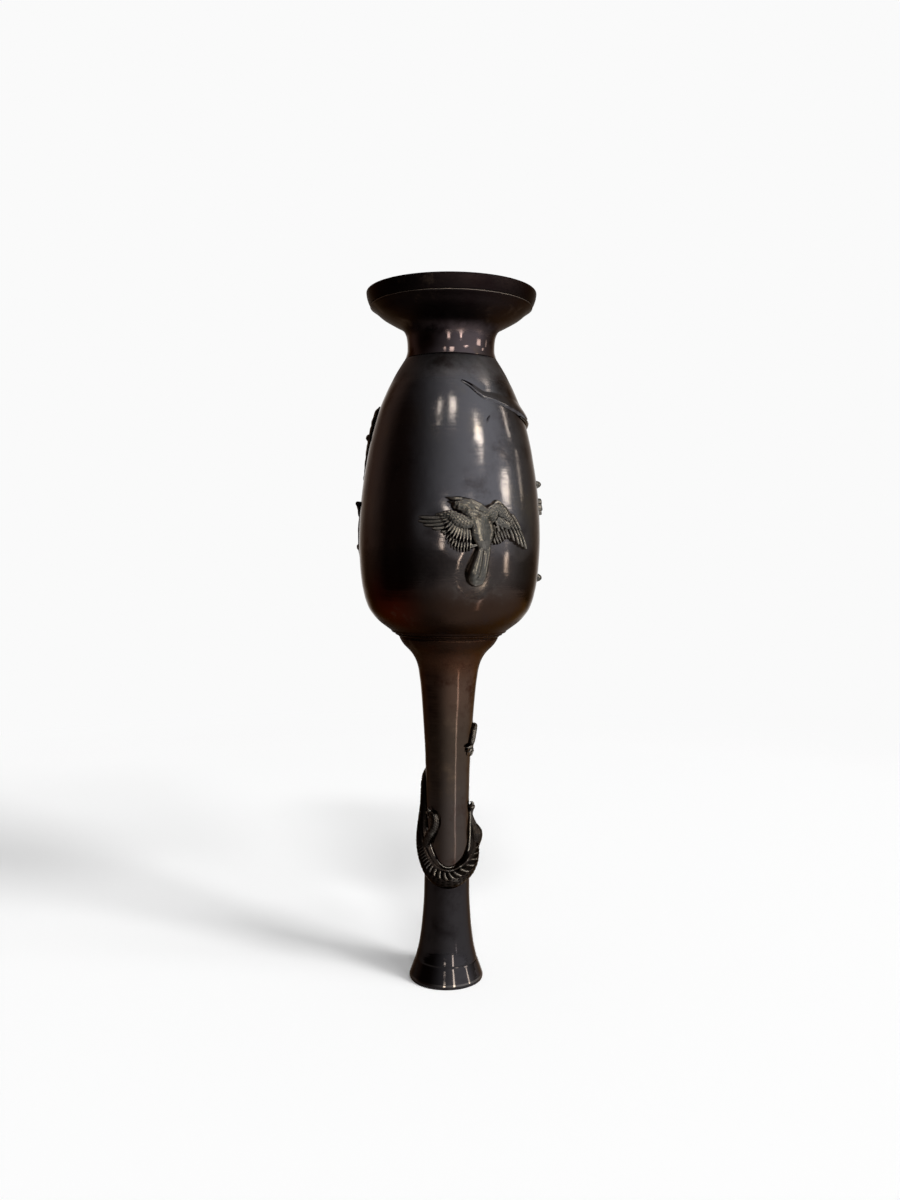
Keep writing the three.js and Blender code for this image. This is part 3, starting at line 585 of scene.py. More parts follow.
# %% A curve on a surface
class Trail:
    """A curve on a surface through [angle, height, half width, rise, lift] stations, where the
    lift may be left out."""

    def __init__(self, surface, stations):
        rows = [[*s, 0][:5] for s in stations]
        self.surface = surface
        self.places = [s[:2] for s in rows]
        self.sizes = [s[2:] for s in rows]

    def at(self, t):
        return [*np.moveaxis(flow(self.places, t), -1, 0), *np.moveaxis(flow(self.sizes, t), -1, 0)]

    def length(self, t):
        """Distance along the curve, in mm, at each of the shares t."""
        a, z = self.at(t)[:2]
        steps = np.diff(self.surface.points(a, z, 0), axis=0)
        return np.concatenate([[0], np.cumsum(np.linalg.norm(steps, axis=1))])

    def beside(self, t, x, lift=0):
        """Angle and height of the point x mm to the left of the curve, as seen from outside."""
        a, z = self.at(t)[:2]
        before, after = self.at(t - TINY), self.at(t + TINY)
        r, out = self.surface.radius(z), self.surface.upright(z)
        du = np.radians(after[0] - before[0]) * r
        dv = (after[1] - before[1]) / out
        size = np.hypot(du, dv)
        return a - np.degrees(dv / size * x / (r + lift)), z + du / size * x * out


quarter = Trail(STEM_SURFACE, [(0, 70, 1, 1), (90, 70, 1, 1)]).length(np.linspace(0, 1, 9))
print(f"Trail: 90 degrees round the stem are {quarter[-1]:.1f} mm")

# %% [markdown]
# ### Rods
#
# A rod is a half-round bar laid on the surface with its edges sunk in, as a wax modeller rolls a
# string and presses it on. Its back takes a texture from the distance along it and across it.


# %% Rods
SINK, RAISE = 0.35, 0.1  # how deep a rod's edges go into the wall, and its skin's height over it
MEASURES = 600  # places at which a trail is measured


def tube_faces(rows, ring):
    """Quads of a tube of rings, and a face over each end."""
    last = (rows - 1) * ring
    sides = quads(rows - 1, ring, lambda k: k + 1).tolist()
    return [*sides, list(range(ring))[::-1], list(range(last, last + ring))]


def rod(trail, step, ring, texture):
    """A rounded rod along a trail: points and faces. texture(s, x, h) gives extra lift from the
    distance along, the share across and the rise."""
    fine = np.linspace(0, 1, MEASURES)
    s = trail.length(fine)
    count = max(4, round(s[-1] / step))
    t = np.interp(np.linspace(0, s[-1], count), s, fine)[:, None]
    along = np.interp(t, fine, s)
    x = -np.cos(np.linspace(0, np.pi, ring))[None, :]
    y = np.sqrt(1 - x**2)
    w, h, lift = trail.at(t)[2:]
    top = np.maximum(RAISE + lift + y * h + texture(along, x, h) * y**0.5, -SINK)
    low = np.full((count, 1), -SINK)
    x = np.concatenate([-np.ones((1, 1)), x, np.ones((1, 1))], 1)
    top = np.concatenate([low, top, low], 1)
    a, z = trail.beside(t, x * w, top)
    points = trail.surface.points(a, z, top)
    return points.reshape(-1, 3), tube_faces(count, ring + 2)


print(f"rod: sunk {SINK} mm into the wall, so that no light passes under it")


# %% Shells together and an uneven grain
def gather(shells):
    """Several (points, faces) as one."""
    points, faces, start = [], [], 0
    for p, f in shells:
        points.append(p)
        faces += [[i + start for i in face] for face in f]
        start += len(p)
    return np.concatenate(points), faces


def ripple(s, x, seed, waves=7, low=0.4, high=2.5, across=7):
    """A made-up uneven grain, from -1 to 1: waves run mostly along s, and close together over x."""
    dice = np.random.default_rng(seed)
    total = 0
    for _ in range(waves):
        along, over = dice.uniform(low, high), dice.uniform(-across, across)
        total = total + np.sin(along * s + over * x + dice.uniform(0, 6.3))
    return total / waves


print("ripple: first values", np.round(ripple(np.arange(3), 0, 1), 2))

# %% [markdown]
# ### Wear and painted shade
#
# High places are rubbed bright, and hollows are darkened, as dark patina and painted shade
# together. Blender's Pointiness gives that only from vertex to vertex, which changes with the mesh.
# Here each mesh is smoothed a little in memory, and how far a vertex stands above the smoothed
# surface is kept as its wear and shade, from 0 to 1.


# %% Wear and painted shade
SMOOTHING_RADIUS, FULLY_PROUD = 0.55, 0.16  # mm along the surface and above it
SMOOTHING_ROUNDS = (4, 40)  # the fewest and the most rounds of smoothing


def per_vertex(mesh, key):
    """The positions or normals of a mesh, as rows."""
    values = np.empty(len(mesh.vertices) * 3)
    mesh.vertices.foreach_get(key, values)
    return values.reshape(-1, 3)


def write_wear_and_shade(piece):
    """Writes the attribute of a piece that holds its wear and its painted shade."""
    mesh = piece.data
    points = per_vertex(mesh, "co") / MM
    n = len(points)
    edges = np.empty(len(mesh.edges) * 2, int)
    mesh.edges.foreach_get("vertices", edges)
    a, b = edges.reshape(-1, 2).T
    spacing = np.median(np.linalg.norm(points[a] - points[b], axis=1))
    valence = np.maximum(np.bincount(a, minlength=n) + np.bincount(b, minlength=n), 1)
    soft = points.copy()
    for _ in range(int(np.clip((SMOOTHING_RADIUS / spacing) ** 2, *SMOOTHING_ROUNDS))):
        sums = [np.bincount(a, soft[b, i], n) + np.bincount(b, soft[a, i], n) for i in range(3)]
        soft = np.stack(sums, 1) / valence[:, None]
    proud = np.sum((points - soft) * per_vertex(mesh, "normal"), 1)
    wear_and_shade = np.clip(0.5 + proud / FULLY_PROUD / 2, 0, 1).astype(np.float32)
    mesh.attributes.new("wear_and_shade", "FLOAT", "POINT").data.foreach_set("value", wear_and_shade)
    print(f"{piece.name}: {n} vertices, {spacing:.2f} mm apart")


print(f"write_wear_and_shade: vertices {FULLY_PROUD} mm above the smoothed skin count as fully worn")


# %% A cast relief
def relief(name, shells, nodes, fuse_mm=None, rounds=2, after=None):
    """A cast relief from shells, fused to one skin by a voxel remesh where fuse_mm is given."""
    points, faces = gather(shells)
    made = finish_piece(name, points, faces, RELIEF, nodes)
    if fuse_mm:
        skin = made.modifiers.new("fuse", "REMESH")
        skin.mode = "VOXEL"
        skin.voxel_size = fuse_mm * MM
        soft = made.modifiers.new("round over", "SMOOTH")
        soft.factor = 0.5
        soft.iterations = rounds
        graph = bpy.context.evaluated_depsgraph_get()
        fused = bpy.data.meshes.new_from_object(made.evaluated_get(graph))
        made.modifiers.clear()
        loose, made.data = made.data, fused
        bpy.data.meshes.remove(loose)
        fused.shade_smooth()
    if after:
        after(made.data)
    write_wear_and_shade(made)


print("relief: wear and painted shade are measured on its final mesh")

# %% [markdown]
# ## Carving with a height map
#
# The bird and the blossoms are shallow forms full of small layers. They could be sculpted, or built
# from many separate blades, but a height map does it more surely: strokes are laid over a fine grid
# and the highest one wins, so feathers overlap as tiles do, and the whole is one closed skin.


# %% Scales and small feathers
def tiles(along, across, length, width):
    """Overlapping round scales as a height from 0 to 1: each rises to its free end and drops."""
    row, best = np.floor(along / length), np.zeros(np.broadcast(along, across).shape)
    for k in (-1, 0, 1):
        shift = ((row + k) % 2) * 0.5
        column = np.round(across / width - shift)
        du = along / length - (row + k) - 0.5
        dv = across / width - shift - column
        inside = (du / 1.05) ** 2 + (dv / 0.56) ** 2 < 1
        best = np.maximum(best, np.where(inside, 0.5 + 0.45 * du, 0))
    return best


print("tiles: from root to free end", tiles(np.array([0.1, 0.5, 0.9]), 0, 1, 1).round(2))


# %% A feather
BLADE = [0.8, 0.95, 1, 1, 0.98, 0.92, 0.8, 0.6, 0.22]
BLUNT_BLADE = [*BLADE[:-3], 0.95, 0.85, 0.55]
BARB_MM = 0.42


def vane(s, side, x):
    """The shaft of a feather and its slanting barbs. Real barbs are four times as fine, but those
    would fall between the picture's pixels."""
    shaft = 0.13 * np.exp(-((side / 0.09) ** 2))
    return shaft + 0.035 * np.sin(2 * np.pi * (s - 1.1 * np.abs(side)) / BARB_MM)


print(f"vane: a barb every {BARB_MM} mm")


# %% A carving
BELOW = -0.4  # where the grid lies in the wall uncarved


class Carving:
    """A height map in mm over a patch of a surface, u across to the right and v up."""

    def __init__(self, left, right, low, high, step):
        self.u, self.v = np.meshgrid(np.arange(left, right, step), np.arange(low, high, step))
        self.height = np.full(self.u.shape, BELOW)

    def stroke(self, line, widths, rises, lifts=0, full=2.2, texture=None, tilt=0):
        """A rounded ridge along a line: half widths, rises and lifts are spread along it, full is
        2 for a round back and more for a flat one, and texture(s, side, x) gives extra lift."""
        share, side = nearest(self.u, self.v, line)
        w, h, lift = [
            np.interp(share, np.linspace(0, 1, np.size(c)), np.atleast_1d(c))
            for c in (widths, rises, lifts)
        ]
        x = side / w
        body = np.maximum(1 - np.abs(x) ** full, 0) ** (1 / full)
        top = lift + h * body + tilt * x
        if texture:
            length = np.sum(np.linalg.norm(np.diff(np.array(line, float), axis=0), axis=1))
            top = top + texture(share * length, side, x) * np.minimum(body * 2, 1)
        self.raise_to(np.where(np.abs(x) < 1, top, BELOW))

    def raise_to(self, height):
        self.height = np.maximum(self.height, height)

    def feathers(self, roots, tips, count, width, rise, lift, bend=0, tilt=0.12, blunt=False):
        """A fan of feathers, whose roots and tips are spread along two lines."""
        shares = np.linspace(0, 1, count)
        blade = width * np.array(BLUNT_BLADE if blunt else BLADE)
        t = np.linspace(0, 1, len(blade))
        for (x0, y0), (x1, y1) in zip(flow(roots, shares), flow(tips, shares)):
            dx, dy = x1 - x0, y1 - y0
            bow = bend * np.sin(np.pi * t)
            line = np.stack([x0 + dx * t - dy * bow, y0 + dy * t + dx * bow], -1)
            self.stroke(line, blade, rise, lift, 2.6, vane, tilt)

    def soften(self):
        padded = np.pad(self.height, 1, "edge")
        m, n = self.height.shape
        parts = [padded[i : i + m, j : j + n] for i in range(3) for j in range(3)]
        self.height = np.mean(parts, 0)


print(f"Carving: a grid of heights, at first {-BELOW} mm under the surface everywhere")


# %% A carving as a closed skin
BASE = -1  # the skin's underside, in the wall
CUT_AT = -0.05  # cells lower than this are left out


def shell_of(carving, angle, z, turn=0):
    """The carving as a closed skin on the body, at an angle and a height."""
    c, s = math.cos(math.radians(turn)), math.sin(math.radians(turn))
    u, v = carving.u * c - carving.v * s, carving.u * s + carving.v * c
    a = angle + np.degrees(u / BODY_SURFACE.radius(z))
    high = z + v * BODY_SURFACE.upright(z)
    top, base = [BODY_SURFACE.points(a, high, lift) for lift in (carving.height, BASE)]
    raised = carving.height > CUT_AT
    keep = raised[:-1, :-1] | raised[1:, :-1] | raised[:-1, 1:] | raised[1:, 1:]
    rows, columns = carving.u.shape
    index = np.arange(rows * columns).reshape(rows, columns)
    i, j = np.nonzero(keep)
    cells = np.stack([index[i, j], index[i, j + 1], index[i + 1, j + 1], index[i + 1, j]], -1)
    under = cells[:, ::-1] + rows * columns
    ring = np.pad(keep, 1)
    walls = []
    for di, dj, k in ((-1, 0, 0), (0, 1, 1), (1, 0, 2), (0, -1, 3)):
        paled = ~ring[i + 1 + di, j + 1 + dj]
        p, q = cells[paled, k], cells[paled, (k + 1) % 4]
        walls.append(np.stack([q, p, p + rows * columns, q + rows * columns], -1))
    faces = np.concatenate([cells, under, *walls])
    used, again = np.unique(faces, return_inverse=True)
    points = np.concatenate([top.reshape(-1, 3), base.reshape(-1, 3)])
    return points[used], again.reshape(-1, 4).tolist()


print(f"shell_of: its underside lies {-BASE} mm in the wall")

# %% [markdown]
# ### The bird
#
# It flies across the front, its back to us, with the beak to the left and both wings spread. Each
# wing has long primaries at the tip, a fan of secondaries, a row that covers their roots and a
# scaly shoulder. Places are millimetres to the right of and above the bird's middle, read off the
# photograph.

# %% The bird's left wing
bird = Carving(-20.6, 24, -18.2, 14.4, step=0.12)


def down(length, width, depth):
    """Small body feathers, as tiles of a given size in mm."""
    return lambda s, side, x: depth * (tiles(s, side, length, width) - 0.5)


# five primaries, the secondaries' fan, the row over it, the shoulder
bird.feathers(
    [(-7.4, 6.9), (-7.2, 5), (-7.9, 2.2)],
    [(-18.1, 6.1), (-18.5, 5.1), (-17.6, 4), (-15.3, 3.1), (-12.9, 2.1), (-10.6, 1.2)],
    5, 0.72, 0.7, 0.25, bend=0.06, blunt=True,
)
bird.feathers(
    [(-7.2, 3.4), (-5, 1.6), (-1.2, 0.8)],
    [(-10, 0.2), (-8.6, -2.5), (-6.9, -4.5), (-5, -5.3), (-3.2, -5.5), (-1.3, -5)],
    10, 0.62, 0.45, 0.5, tilt=0.16,
)
bird.feathers(
    [(-6.8, 5.4), (-4.8, 3), (-1.6, 2)],
    [(-9.5, 2.3), (-8, 0), (-6, -1.4), (-3.6, -2.2), (-1.2, -2.1)],
    9, 0.66, 0.4, 1.05, tilt=0.14,
)
bird.feathers(
    [(-5.8, 7.3), (-5.8, 5.5)],
    [(-11.4, 6.7), (-10.8, 5.6), (-10, 4.4), (-9, 3.2)],
    5, 0.72, 0.35, 0.85, tilt=0.12,
)
bird.stroke(
    smooth([(-0.2, 4.4), (-2.6, 4.6), (-4.9, 5.3), (-7.2, 6.6), (-9.2, 7), (-12.5, 6.9)], 0.6),
    [2, 2.5, 2.6, 1.8, 0.9, 0.35], [1.2, 1.1, 1, 0.9, 0.7, 0.4], [1, 1, 0.9, 0.8, 0.5, 0.3],
    texture=down(0.95, 0.95, 0.38),
)
print(f"left wing: up to {bird.height.max():.2f} mm over the wall")

# %% The bird's right wing
bird.feathers(
    [(17.2, 3.2), (14.6, 3.6), (11.4, 3)],
    [(22, -4), (20.2, -3.5), (18.6, -2.9), (16.9, -2.1), (15, -1.2), (13.3, -0.5)],
    5, 0.78, 0.7, 0.25, bend=0.04, tilt=-0.12, blunt=True,
)
bird.feathers(
    [(11.4, 3.6), (8.4, 1.8), (5.6, 0.2)],
    [(12.9, -0.5), (11.6, -1.4), (10, -2.4), (8.4, -2.9), (6.4, -2.8)],
    7, 0.62, 0.45, 0.55, tilt=-0.14,
)
bird.feathers(
    [(14.6, 7), (12.2, 5.6), (9, 4), (5.6, 3)],
    [(18.2, 2.3), (14.8, 2.3), (11.8, 2.8), (9, 1.4), (5.8, -0.3)],
    9, 0.74, 0.38, 1.0, tilt=-0.12,
)
bird.stroke(
    smooth([(3, 5.4), (5.8, 7), (7.6, 8.6), (10, 8.1), (12.8, 5.9), (15.2, 3.8), (17.4, 2.6)], 0.6),
    [3, 2.8, 2.4, 2.3, 1.8, 1.2, 0.5], [1.3, 1.2, 1.1, 1, 0.8, 0.6, 0.3],
    [1, 1, 0.9, 0.9, 0.8, 0.6, 0.5], texture=down(1, 0.95, 0.38),
)
bird.stroke(
    smooth([(6.9, 8.4), (7.5, 10.4), (8.4, 11.3), (10.6, 9.9), (13.4, 7.3)], 0.5),
    [0.7, 0.8, 0.7, 0.8, 0.5], [0.9, 0.9, 0.8, 0.7, 0.4], [0.8, 0.7, 0.6, 0.7, 0.7],
)
print(f"with the right wing: up to {bird.height.max():.2f} mm over the wall")

# %% [markdown]
# ### Tail, body and head
#
# The tail is two long feathers with a narrow one between, joined in one broad round end like a
# spoon. Back and neck are rounder than the wings, since they carry the brightest highlights. The
# strokes only have to overlap, because the highest one wins.

# %% The bird's tail
bird.stroke(
    smooth([(2.5, -3.8), (1.5, -8.4), (0.6, -11.8), (0.3, -13.6), (0.9, -14.9)], 0.5),
    [1.1, 1.6, 2.2, 2.5, 2.1], [1.2, 1.7, 2, 2.2, 1.9], [0.5, 0.3, 0.2, 0.1, 0.1], full=2,
    texture=lambda s, side, x: 0.04 * np.sin(2 * np.pi * (s - np.abs(side)) / 0.6),
)
bird.stroke(
    smooth([(5, -4), (4.5, -8), (3.8, -11.8), (3.1, -13.8), (1.8, -14.9)], 0.5),
    [1.2, 1.15, 1.25, 1.5, 2], [0.9, 1.1, 1.3, 1.7, 1.9], [0.5, 0.3, 0.2, 0.1, 0.1], full=2,
)
bird.stroke([(0.6, -14.5), (2.2, -14.6)], [2.3, 2.2], [2, 1.9], 0.1, full=2)
bird.stroke([(3.8, -3), (3.1, -8), (2.3, -13.5)], [1.4, 1.6, 2], [0.8, 1.05, 1.3], [0.6, 0.6, 0.6])
bird.stroke([(3.9, -4.4), (3.5, -7.4)], [0.35, 0.2], [0.4, 0.2], [1.2, 1.4])
bird.stroke([(-0.4, -3.4), (0.6, -3.2)], [0.8, 0.6], [0.7, 0.6], [0.5, 0.8])
print(f"tail and tucked foot: {np.mean(bird.height > 0):.0%} of the grid is carved")

# %% The bird's back, neck and head
back = [(-3.6, 9.6), (-1.4, 7.9), (0.8, 5.9), (2.4, 3.4), (3, 0.8), (3.3, -2), (3.6, -4.4)]
bird.stroke(
    smooth(back, 0.5),
    [2.3, 2.3, 3.2, 4.1, 4.4, 3.3, 1.7], [2, 2, 2, 2.1, 2.1, 1.9, 1.2], 0.4, full=2.7,
    texture=lambda s, side, x: down(1.1, 1.05, 0.16)(s, side, x) * np.clip((9.5 - s) / 4, 0.15, 1),
)
bird.stroke(
    smooth([(-5.7, 10.1), (-4.4, 10.3), (-2.8, 10), (-1, 8.6)], 0.4),
    [1.95, 2.5, 2.6, 2.2], [1.9, 2.35, 2.3, 2], 0.4,
    texture=down(0.7, 0.7, 0.05),
)
bird.stroke([(-4.9, 9.3), (-3.6, 8.9)], [1.5, 1.5], [2.2, 2.2], 0.5)
bird.stroke(
    [(8.6, 5.2), (12.6, 3.6)], [1.8, 1.4], [0.8, 0.7], [0.9, 0.8], texture=down(1, 0.95, 0.3)
)
bird.stroke([(-1.6, 10.4), (1.6, 9), (5.4, 6.8)], [2, 2, 1.6], [1.7, 1.7, 1.3], 0.5, full=2.6)
print(f"back and head: up to {bird.height.max():.2f} mm over the wall")

# %% The bird's beak and eye
bird.stroke(
    smooth([(-4.6, 12), (-6.4, 12), (-7.8, 12.2), (-9.4, 12.7)], 0.3), [0.95, 0.9, 0.6, 0.14],
    [2, 1.8, 1.3, 0.6], [0.5, 0.5, 0.5, 0.4],
)
bird.stroke([(-6.4, 10.9), (-7.7, 11), (-9, 11.3)], [0.75, 0.5, 0.1], [1.6, 1.1, 0.4], 0.4)
around_eye = np.hypot(bird.u + 5.7, bird.v - 10.6)
bird.height += 0.16 * np.exp(-(((around_eye - 0.62) / 0.16) ** 2))
bird.height += 0.3 * np.exp(-((around_eye / 0.3) ** 2)) - 0.1 * np.exp(-((around_eye / 0.5) ** 2))
bird.soften()
relief("bird_in_flight", [shell_of(bird, BIRD_A, BIRD_V)], ["bird"])

# %% [markdown]
# ### The plum tree
#
# The trunk climbs the left side and two boughs cross the back. Old plum wood is knotty, so the rods
# carry long uneven bark ridges that fade on the young twigs. Rows give angle, share of the body's
# height, and shares of a named width and rise, as in the CAD model.

# %% Wood
TRUNK, BOUGH = (2.2, 1.9), (1.7, 1.5)  # half widths and rises


def spread(rows, size, foot, height):
    """Rows of angle and shares as rows of angle and mm, over a section's foot and height."""
    return [[a, foot + height * s, size[0] * w, size[1] * h, *lift] for a, s, w, h, *lift in rows]


def wood(rows, size, seed, ring=30):
    """A knotty limb: bark ridges as deep as the limb is thick, and knots every few millimetres."""

    def bark(s, x, h):
        knots = 0.16 * np.maximum(ripple(s, x, seed + 50, 5, 0.5, 1.3, 1.5), 0)
        return h * (0.13 * ripple(s, x * 2, seed, across=8) + knots)

    trail = Trail(BODY_SURFACE, spread(rows, size, BODY_Z, BODY_H))
    return rod(trail, step=0.3, ring=ring, texture=bark)


print(f"wood: trunk {2 * TRUNK[0]} mm and boughs {2 * BOUGH[0]} mm wide")

# %% Buds and limbs
BUD_R, BUD_CUP = 1.5, 1.16  # mm, and how many times as wide its cup is


def bud(angle, share, size, seed=0):
    """A closed bud: a round top with three petals in a small cup."""
    r = BUD_R * size
    carving = Carving(-r * 1.25, r * 1.25, -r * 1.25, r * 1.25, r / 14)
    reach = np.hypot(carving.u, carving.v) / r
    turn = np.arctan2(carving.v, carving.u)
    petals = 1 - 0.07 * np.abs(np.sin(1.5 * turn + seed))
    dome = 1.5 * r * np.sqrt(np.maximum(1 - reach**2, 0)) * petals
    cup = 0.75 * r * np.maximum(1 - (reach / BUD_CUP) ** 6, 0) * (1 + 0.1 * np.cos(5 * turn))
    carving.raise_to(np.where(reach < BUD_CUP, np.maximum(dome, cup), BELOW))
    carving.soften()
    return shell_of(carving, angle, BODY_Z + BODY_H * share)


def limb(node, rows, twigs, buds, size, seed, ring=30):
    """A limb with its twigs and its (angle, share, size, seed) buds, as one casting."""
    shells = [wood(rows, size, seed, ring)]
    shells += [wood(twig, size, seed + 1 + i) for i, twig in enumerate(twigs)]
    relief(f"{node}_bark", [*shells, *[bud(*spot) for spot in buds]], [node])


print(f"bud: {2 * BUD_R} mm across, three petals in a cup")

# %% The trunk
TRUNK_ROWS = [
    (-142, 0.135, 1.05, 0.9), (-122, 0.205, 1, 1), (-100, 0.3, 0.95, 0.55), (-95, 0.4, 0.85, 0.4),
    (-108, 0.515, 1, 0.95), (-100, 0.635, 1.1, 0.8), (-96, 0.755, 1.4, 0.92),
    (-97, 0.81, 1.3, 0.95), (-98, 0.832, 0.8, 0.6),
]
TRUNK_TWIGS = [
    [(-96, 0.44, 0.5, 0.55), (-92, 0.472, 0.45, 0.5, 0.5), (-90, 0.482, 0.4, 0.45, 1.1),
     (-89, 0.485, 0.15, 0.25, 1.3)],
    [(-122, 0.205, 0.7, 0.7), (-116, 0.13, 0.5, 0.5), (-110, 0.1, 0.2, 0.3)],
]
TRUNK_BUDS = [(-112, 0.106, 1), (-95.5, 0.72, 1.2, 1), (-103, 0.325, 1.2, 2)]
limb("plum_trunk", TRUNK_ROWS, TRUNK_TWIGS, TRUNK_BUDS, TRUNK, seed=1, ring=40)

# %% The upper bough
UPPER_ROWS = [
    (-106, 0.52, 1.1, 0.9), (-118, 0.56, 1, 1), (-140, 0.635, 1, 1), (-168, 0.708, 0.95, 0.95),
    (-200, 0.668, 0.88, 0.9), (-232, 0.728, 0.8, 0.85), (-262, 0.768, 0.7, 0.8),
    (-280, 0.78, 0.55, 0.6), (-294, 0.79, 0.3, 0.2),
]
UPPER_TWIG = [(-168, 0.708, 0.6, 0.6), (-178, 0.78, 0.5, 0.55), (-192, 0.84, 0.35, 0.45)]
limb("plum_upper_bough", UPPER_ROWS, [UPPER_TWIG], [(-193, 0.844, 1, 3)], BOUGH, seed=11)

# %% [markdown]
# ### The twig on the shoulder
#
# At the front the bough thins to a twig that was cut into the wall rather than laid on it: above
# its line the surface swells softly, and below it drops in one sharp step. A height map does this
# too, with a different slope on either side of the line. It is scraped and waxed with the body.

# %% The twig on the shoulder
TWIG_A, TWIG_Z = 44, 208
TWIG_STEP = 0.42  # width of the sharp step under the twig
twig = Carving(-18, 22, -9, 14, step=0.12)
around, rise = BODY_SURFACE.radius(TWIG_Z), BODY_SURFACE.upright(TWIG_Z)


def on_twig(*places):
    return [(math.radians(a - TWIG_A) * around, (z - TWIG_Z) / rise) for a, z in places]


TWIG_LINE = on_twig(
    (8.5, 215.7), (15.8, 213.6), (26.3, 209.9), (37.4, 208.9), (49.9, 207.3), (62, 206),
    (73, 204.6), (84, 204.4),
)
share, side = nearest(twig.u, twig.v, smooth(TWIG_LINE, 0.4))
proud = np.interp(share, [0, 0.12, 0.3, 0.5, 0.7, 0.85, 1], [0.1, 0.45, 0.7, 0.7, 0.9, 1.4, 1.3])
broad = np.interp(share, [0, 0.15, 0.4, 0.7, 1], [1, 2.6, 4.2, 6.5, 7.5])
slope = np.where(side > 0, np.clip(1 - side / broad, 0, 1), np.clip(1 + side / TWIG_STEP, 0, 1))
swell = slope**2 * (3 - 2 * slope)
ends = np.clip(share / 0.02, 0, 1) * np.clip((1 - share) / 0.05, 0, 1)
ridge = 0.07 * np.exp(-(((side - 0.3) / 0.35) ** 2)) * np.clip(1.6 - share * 1.6, 0, 1)
twig.raise_to((proud * swell + ridge) * ends - 0.07)
notch = on_twig((29.5, 203.6), (27.5, 202.4), (26.6, 200.9))
twig.stroke(notch, [0.16, 0.3, 0.12], [0.35, 0.45, 0.1])
twig.soften()
points, faces = shell_of(twig, TWIG_A, TWIG_Z)
finish_piece("plum_twig_step", points, faces, BODY, ["plum_upper_bough"])
print(f"plum_twig_step: {len(points)} vertices")

# %% [markdown]
# ### The lower bough
#
# It leaves the trunk low on the left, crosses the back and forks towards the right outline, where
# its two buds show as knobs in the photograph. It is made as the upper one is.

# %% The lower bough
LOWER_ROWS = [
    (-112, 0.25, 1.1, 0.9), (-128, 0.296, 0.95, 1), (-150, 0.366, 0.9, 0.95),
    (-178, 0.346, 0.85, 0.9), (-205, 0.416, 0.75, 0.85), (-232, 0.396, 0.7, 0.75),
    (-250, 0.451, 0.55, 0.65), (-257, 0.471, 0.4, 0.45),
]
LOWER_TWIGS = [
    [(-205, 0.416, 0.6, 0.65), (-216, 0.316, 0.5, 0.55), (-240, 0.235, 0.4, 0.45),
     (-263, 0.216, 0.25, 0.35)],
    [(-232, 0.396, 0.55, 0.6), (-247, 0.502, 0.4, 0.5), (-266, 0.556, 0.25, 0.35)],
]
LOWER_BUDS = [(-264.5, 0.217, 1, 4), (-267, 0.557, 0.9, 5)]
limb("plum_lower_bough", LOWER_ROWS, LOWER_TWIGS, LOWER_BUDS, BOUGH, seed=21)

# %% [markdown]
# ### Blossoms
#
# A plum blossom has five round cupped petals that overlap a little, and a ring of stamens with
# knobs round a small heart. All seven share one carving, turned differently.

# %% One blossom
BLOSSOM_R = 3.1
flower = Carving(-3.5, 3.5, -3.5, 3.5, step=0.1)
reach = np.hypot(flower.u, flower.v)
for k in range(5):
    angle = math.radians(90 + 72 * k)
    cu, cv = 0.53 * BLOSSOM_R * math.cos(angle), 0.53 * BLOSSOM_R * math.sin(angle)
    du, dv = flower.u - cu, flower.v - cv
    inside = np.hypot(du, dv) / (0.5 * BLOSSOM_R)
    lean = (du * -math.sin(angle) + dv * math.cos(angle)) / BLOSSOM_R
    petal = 0.85 + 0.75 * inside**2 * np.clip(reach / BLOSSOM_R + 0.2, 0, 1) + 0.45 * lean
    petal += 0.05 * np.cos(22 * np.arctan2(dv, du)) * inside
    rim = np.clip((1 - inside) / 0.08, 0, 1) ** 0.5
    flower.raise_to(np.where(inside < 1, petal * rim, BELOW))
for k in range(10):
    angle = math.radians(36 * k + 18)
    tip = 1.25 if k % 2 else 1.05
    flower.stroke(
        [(0, 0), (tip * math.cos(angle), tip * math.sin(angle))], [0.09, 0.09, 0.1, 0.2],
        [0.3, 0.25, 0.25, 0.4], [1, 1.05, 1.15, 1.25],
    )
flower.stroke([(-0.05, 0), (0.05, 0)], 0.42, 0.75, 1)
flower.soften()
print(f"flower: {2 * BLOSSOM_R} mm across, {flower.height.max():.2f} mm proud")

# %% Seven blossoms
BLOSSOMS = [
    (96, 0.477, 20), (125, 0.455, 50), (150, 0.467, 0), (174, 0.776, 35), (-157, 0.632, 12),
    (-171, 0.29, 60), (118, 0.7, 40),
]
for i, (angle, share, turn) in enumerate(BLOSSOMS):
    shell = shell_of(flower, angle, BODY_Z + BODY_H * share, turn)
    relief(f"plum_blossom_{i + 1}_petals", [shell], [f"plum_blossom_{i + 1}"])

# %% [markdown]
# ## The dragon
#
# Its tail lies behind the stem, its body sweeps round the front in a deep U and climbs the back.
# Along the upper edge runs a fine rim, then a mane of spines that lean over each other like the
# strands of a rope, and below them scales. The strands are the brightest, most rubbed part.

# %% The dragon's body
DRAGON_W, DRAGON_H = 3.85, 4
DRAGON_ROWS = [
    (252, 0.3, 0.1, 0.12), (215, 0.285, 0.25, 0.27), (175, 0.245, 0.45, 0.45),
    (137, 0.19, 0.66, 0.7), (103, 0.125, 0.82, 0.85), (70, 0.055, 0.9, 0.92),
    (35, 0.012, 0.96, 0.98), (0, -0.006, 1, 1), (-35, 0.026, 0.98, 1), (-66, 0.11, 0.9, 0.92),
    (-89, 0.195, 0.74, 0.72), (-99, 0.285, 0.66, 0.52), (-107, 0.36, 0.62, 0.52),
    (-130, 0.41, 0.62, 0.62), (-165, 0.437, 0.62, 0.66), (-203, 0.48, 0.62, 0.66),
    (-236, 0.56, 0.58, 0.62), (-226, 0.665, 0.52, 0.56), (-200, 0.715, 0.46, 0.5),
]


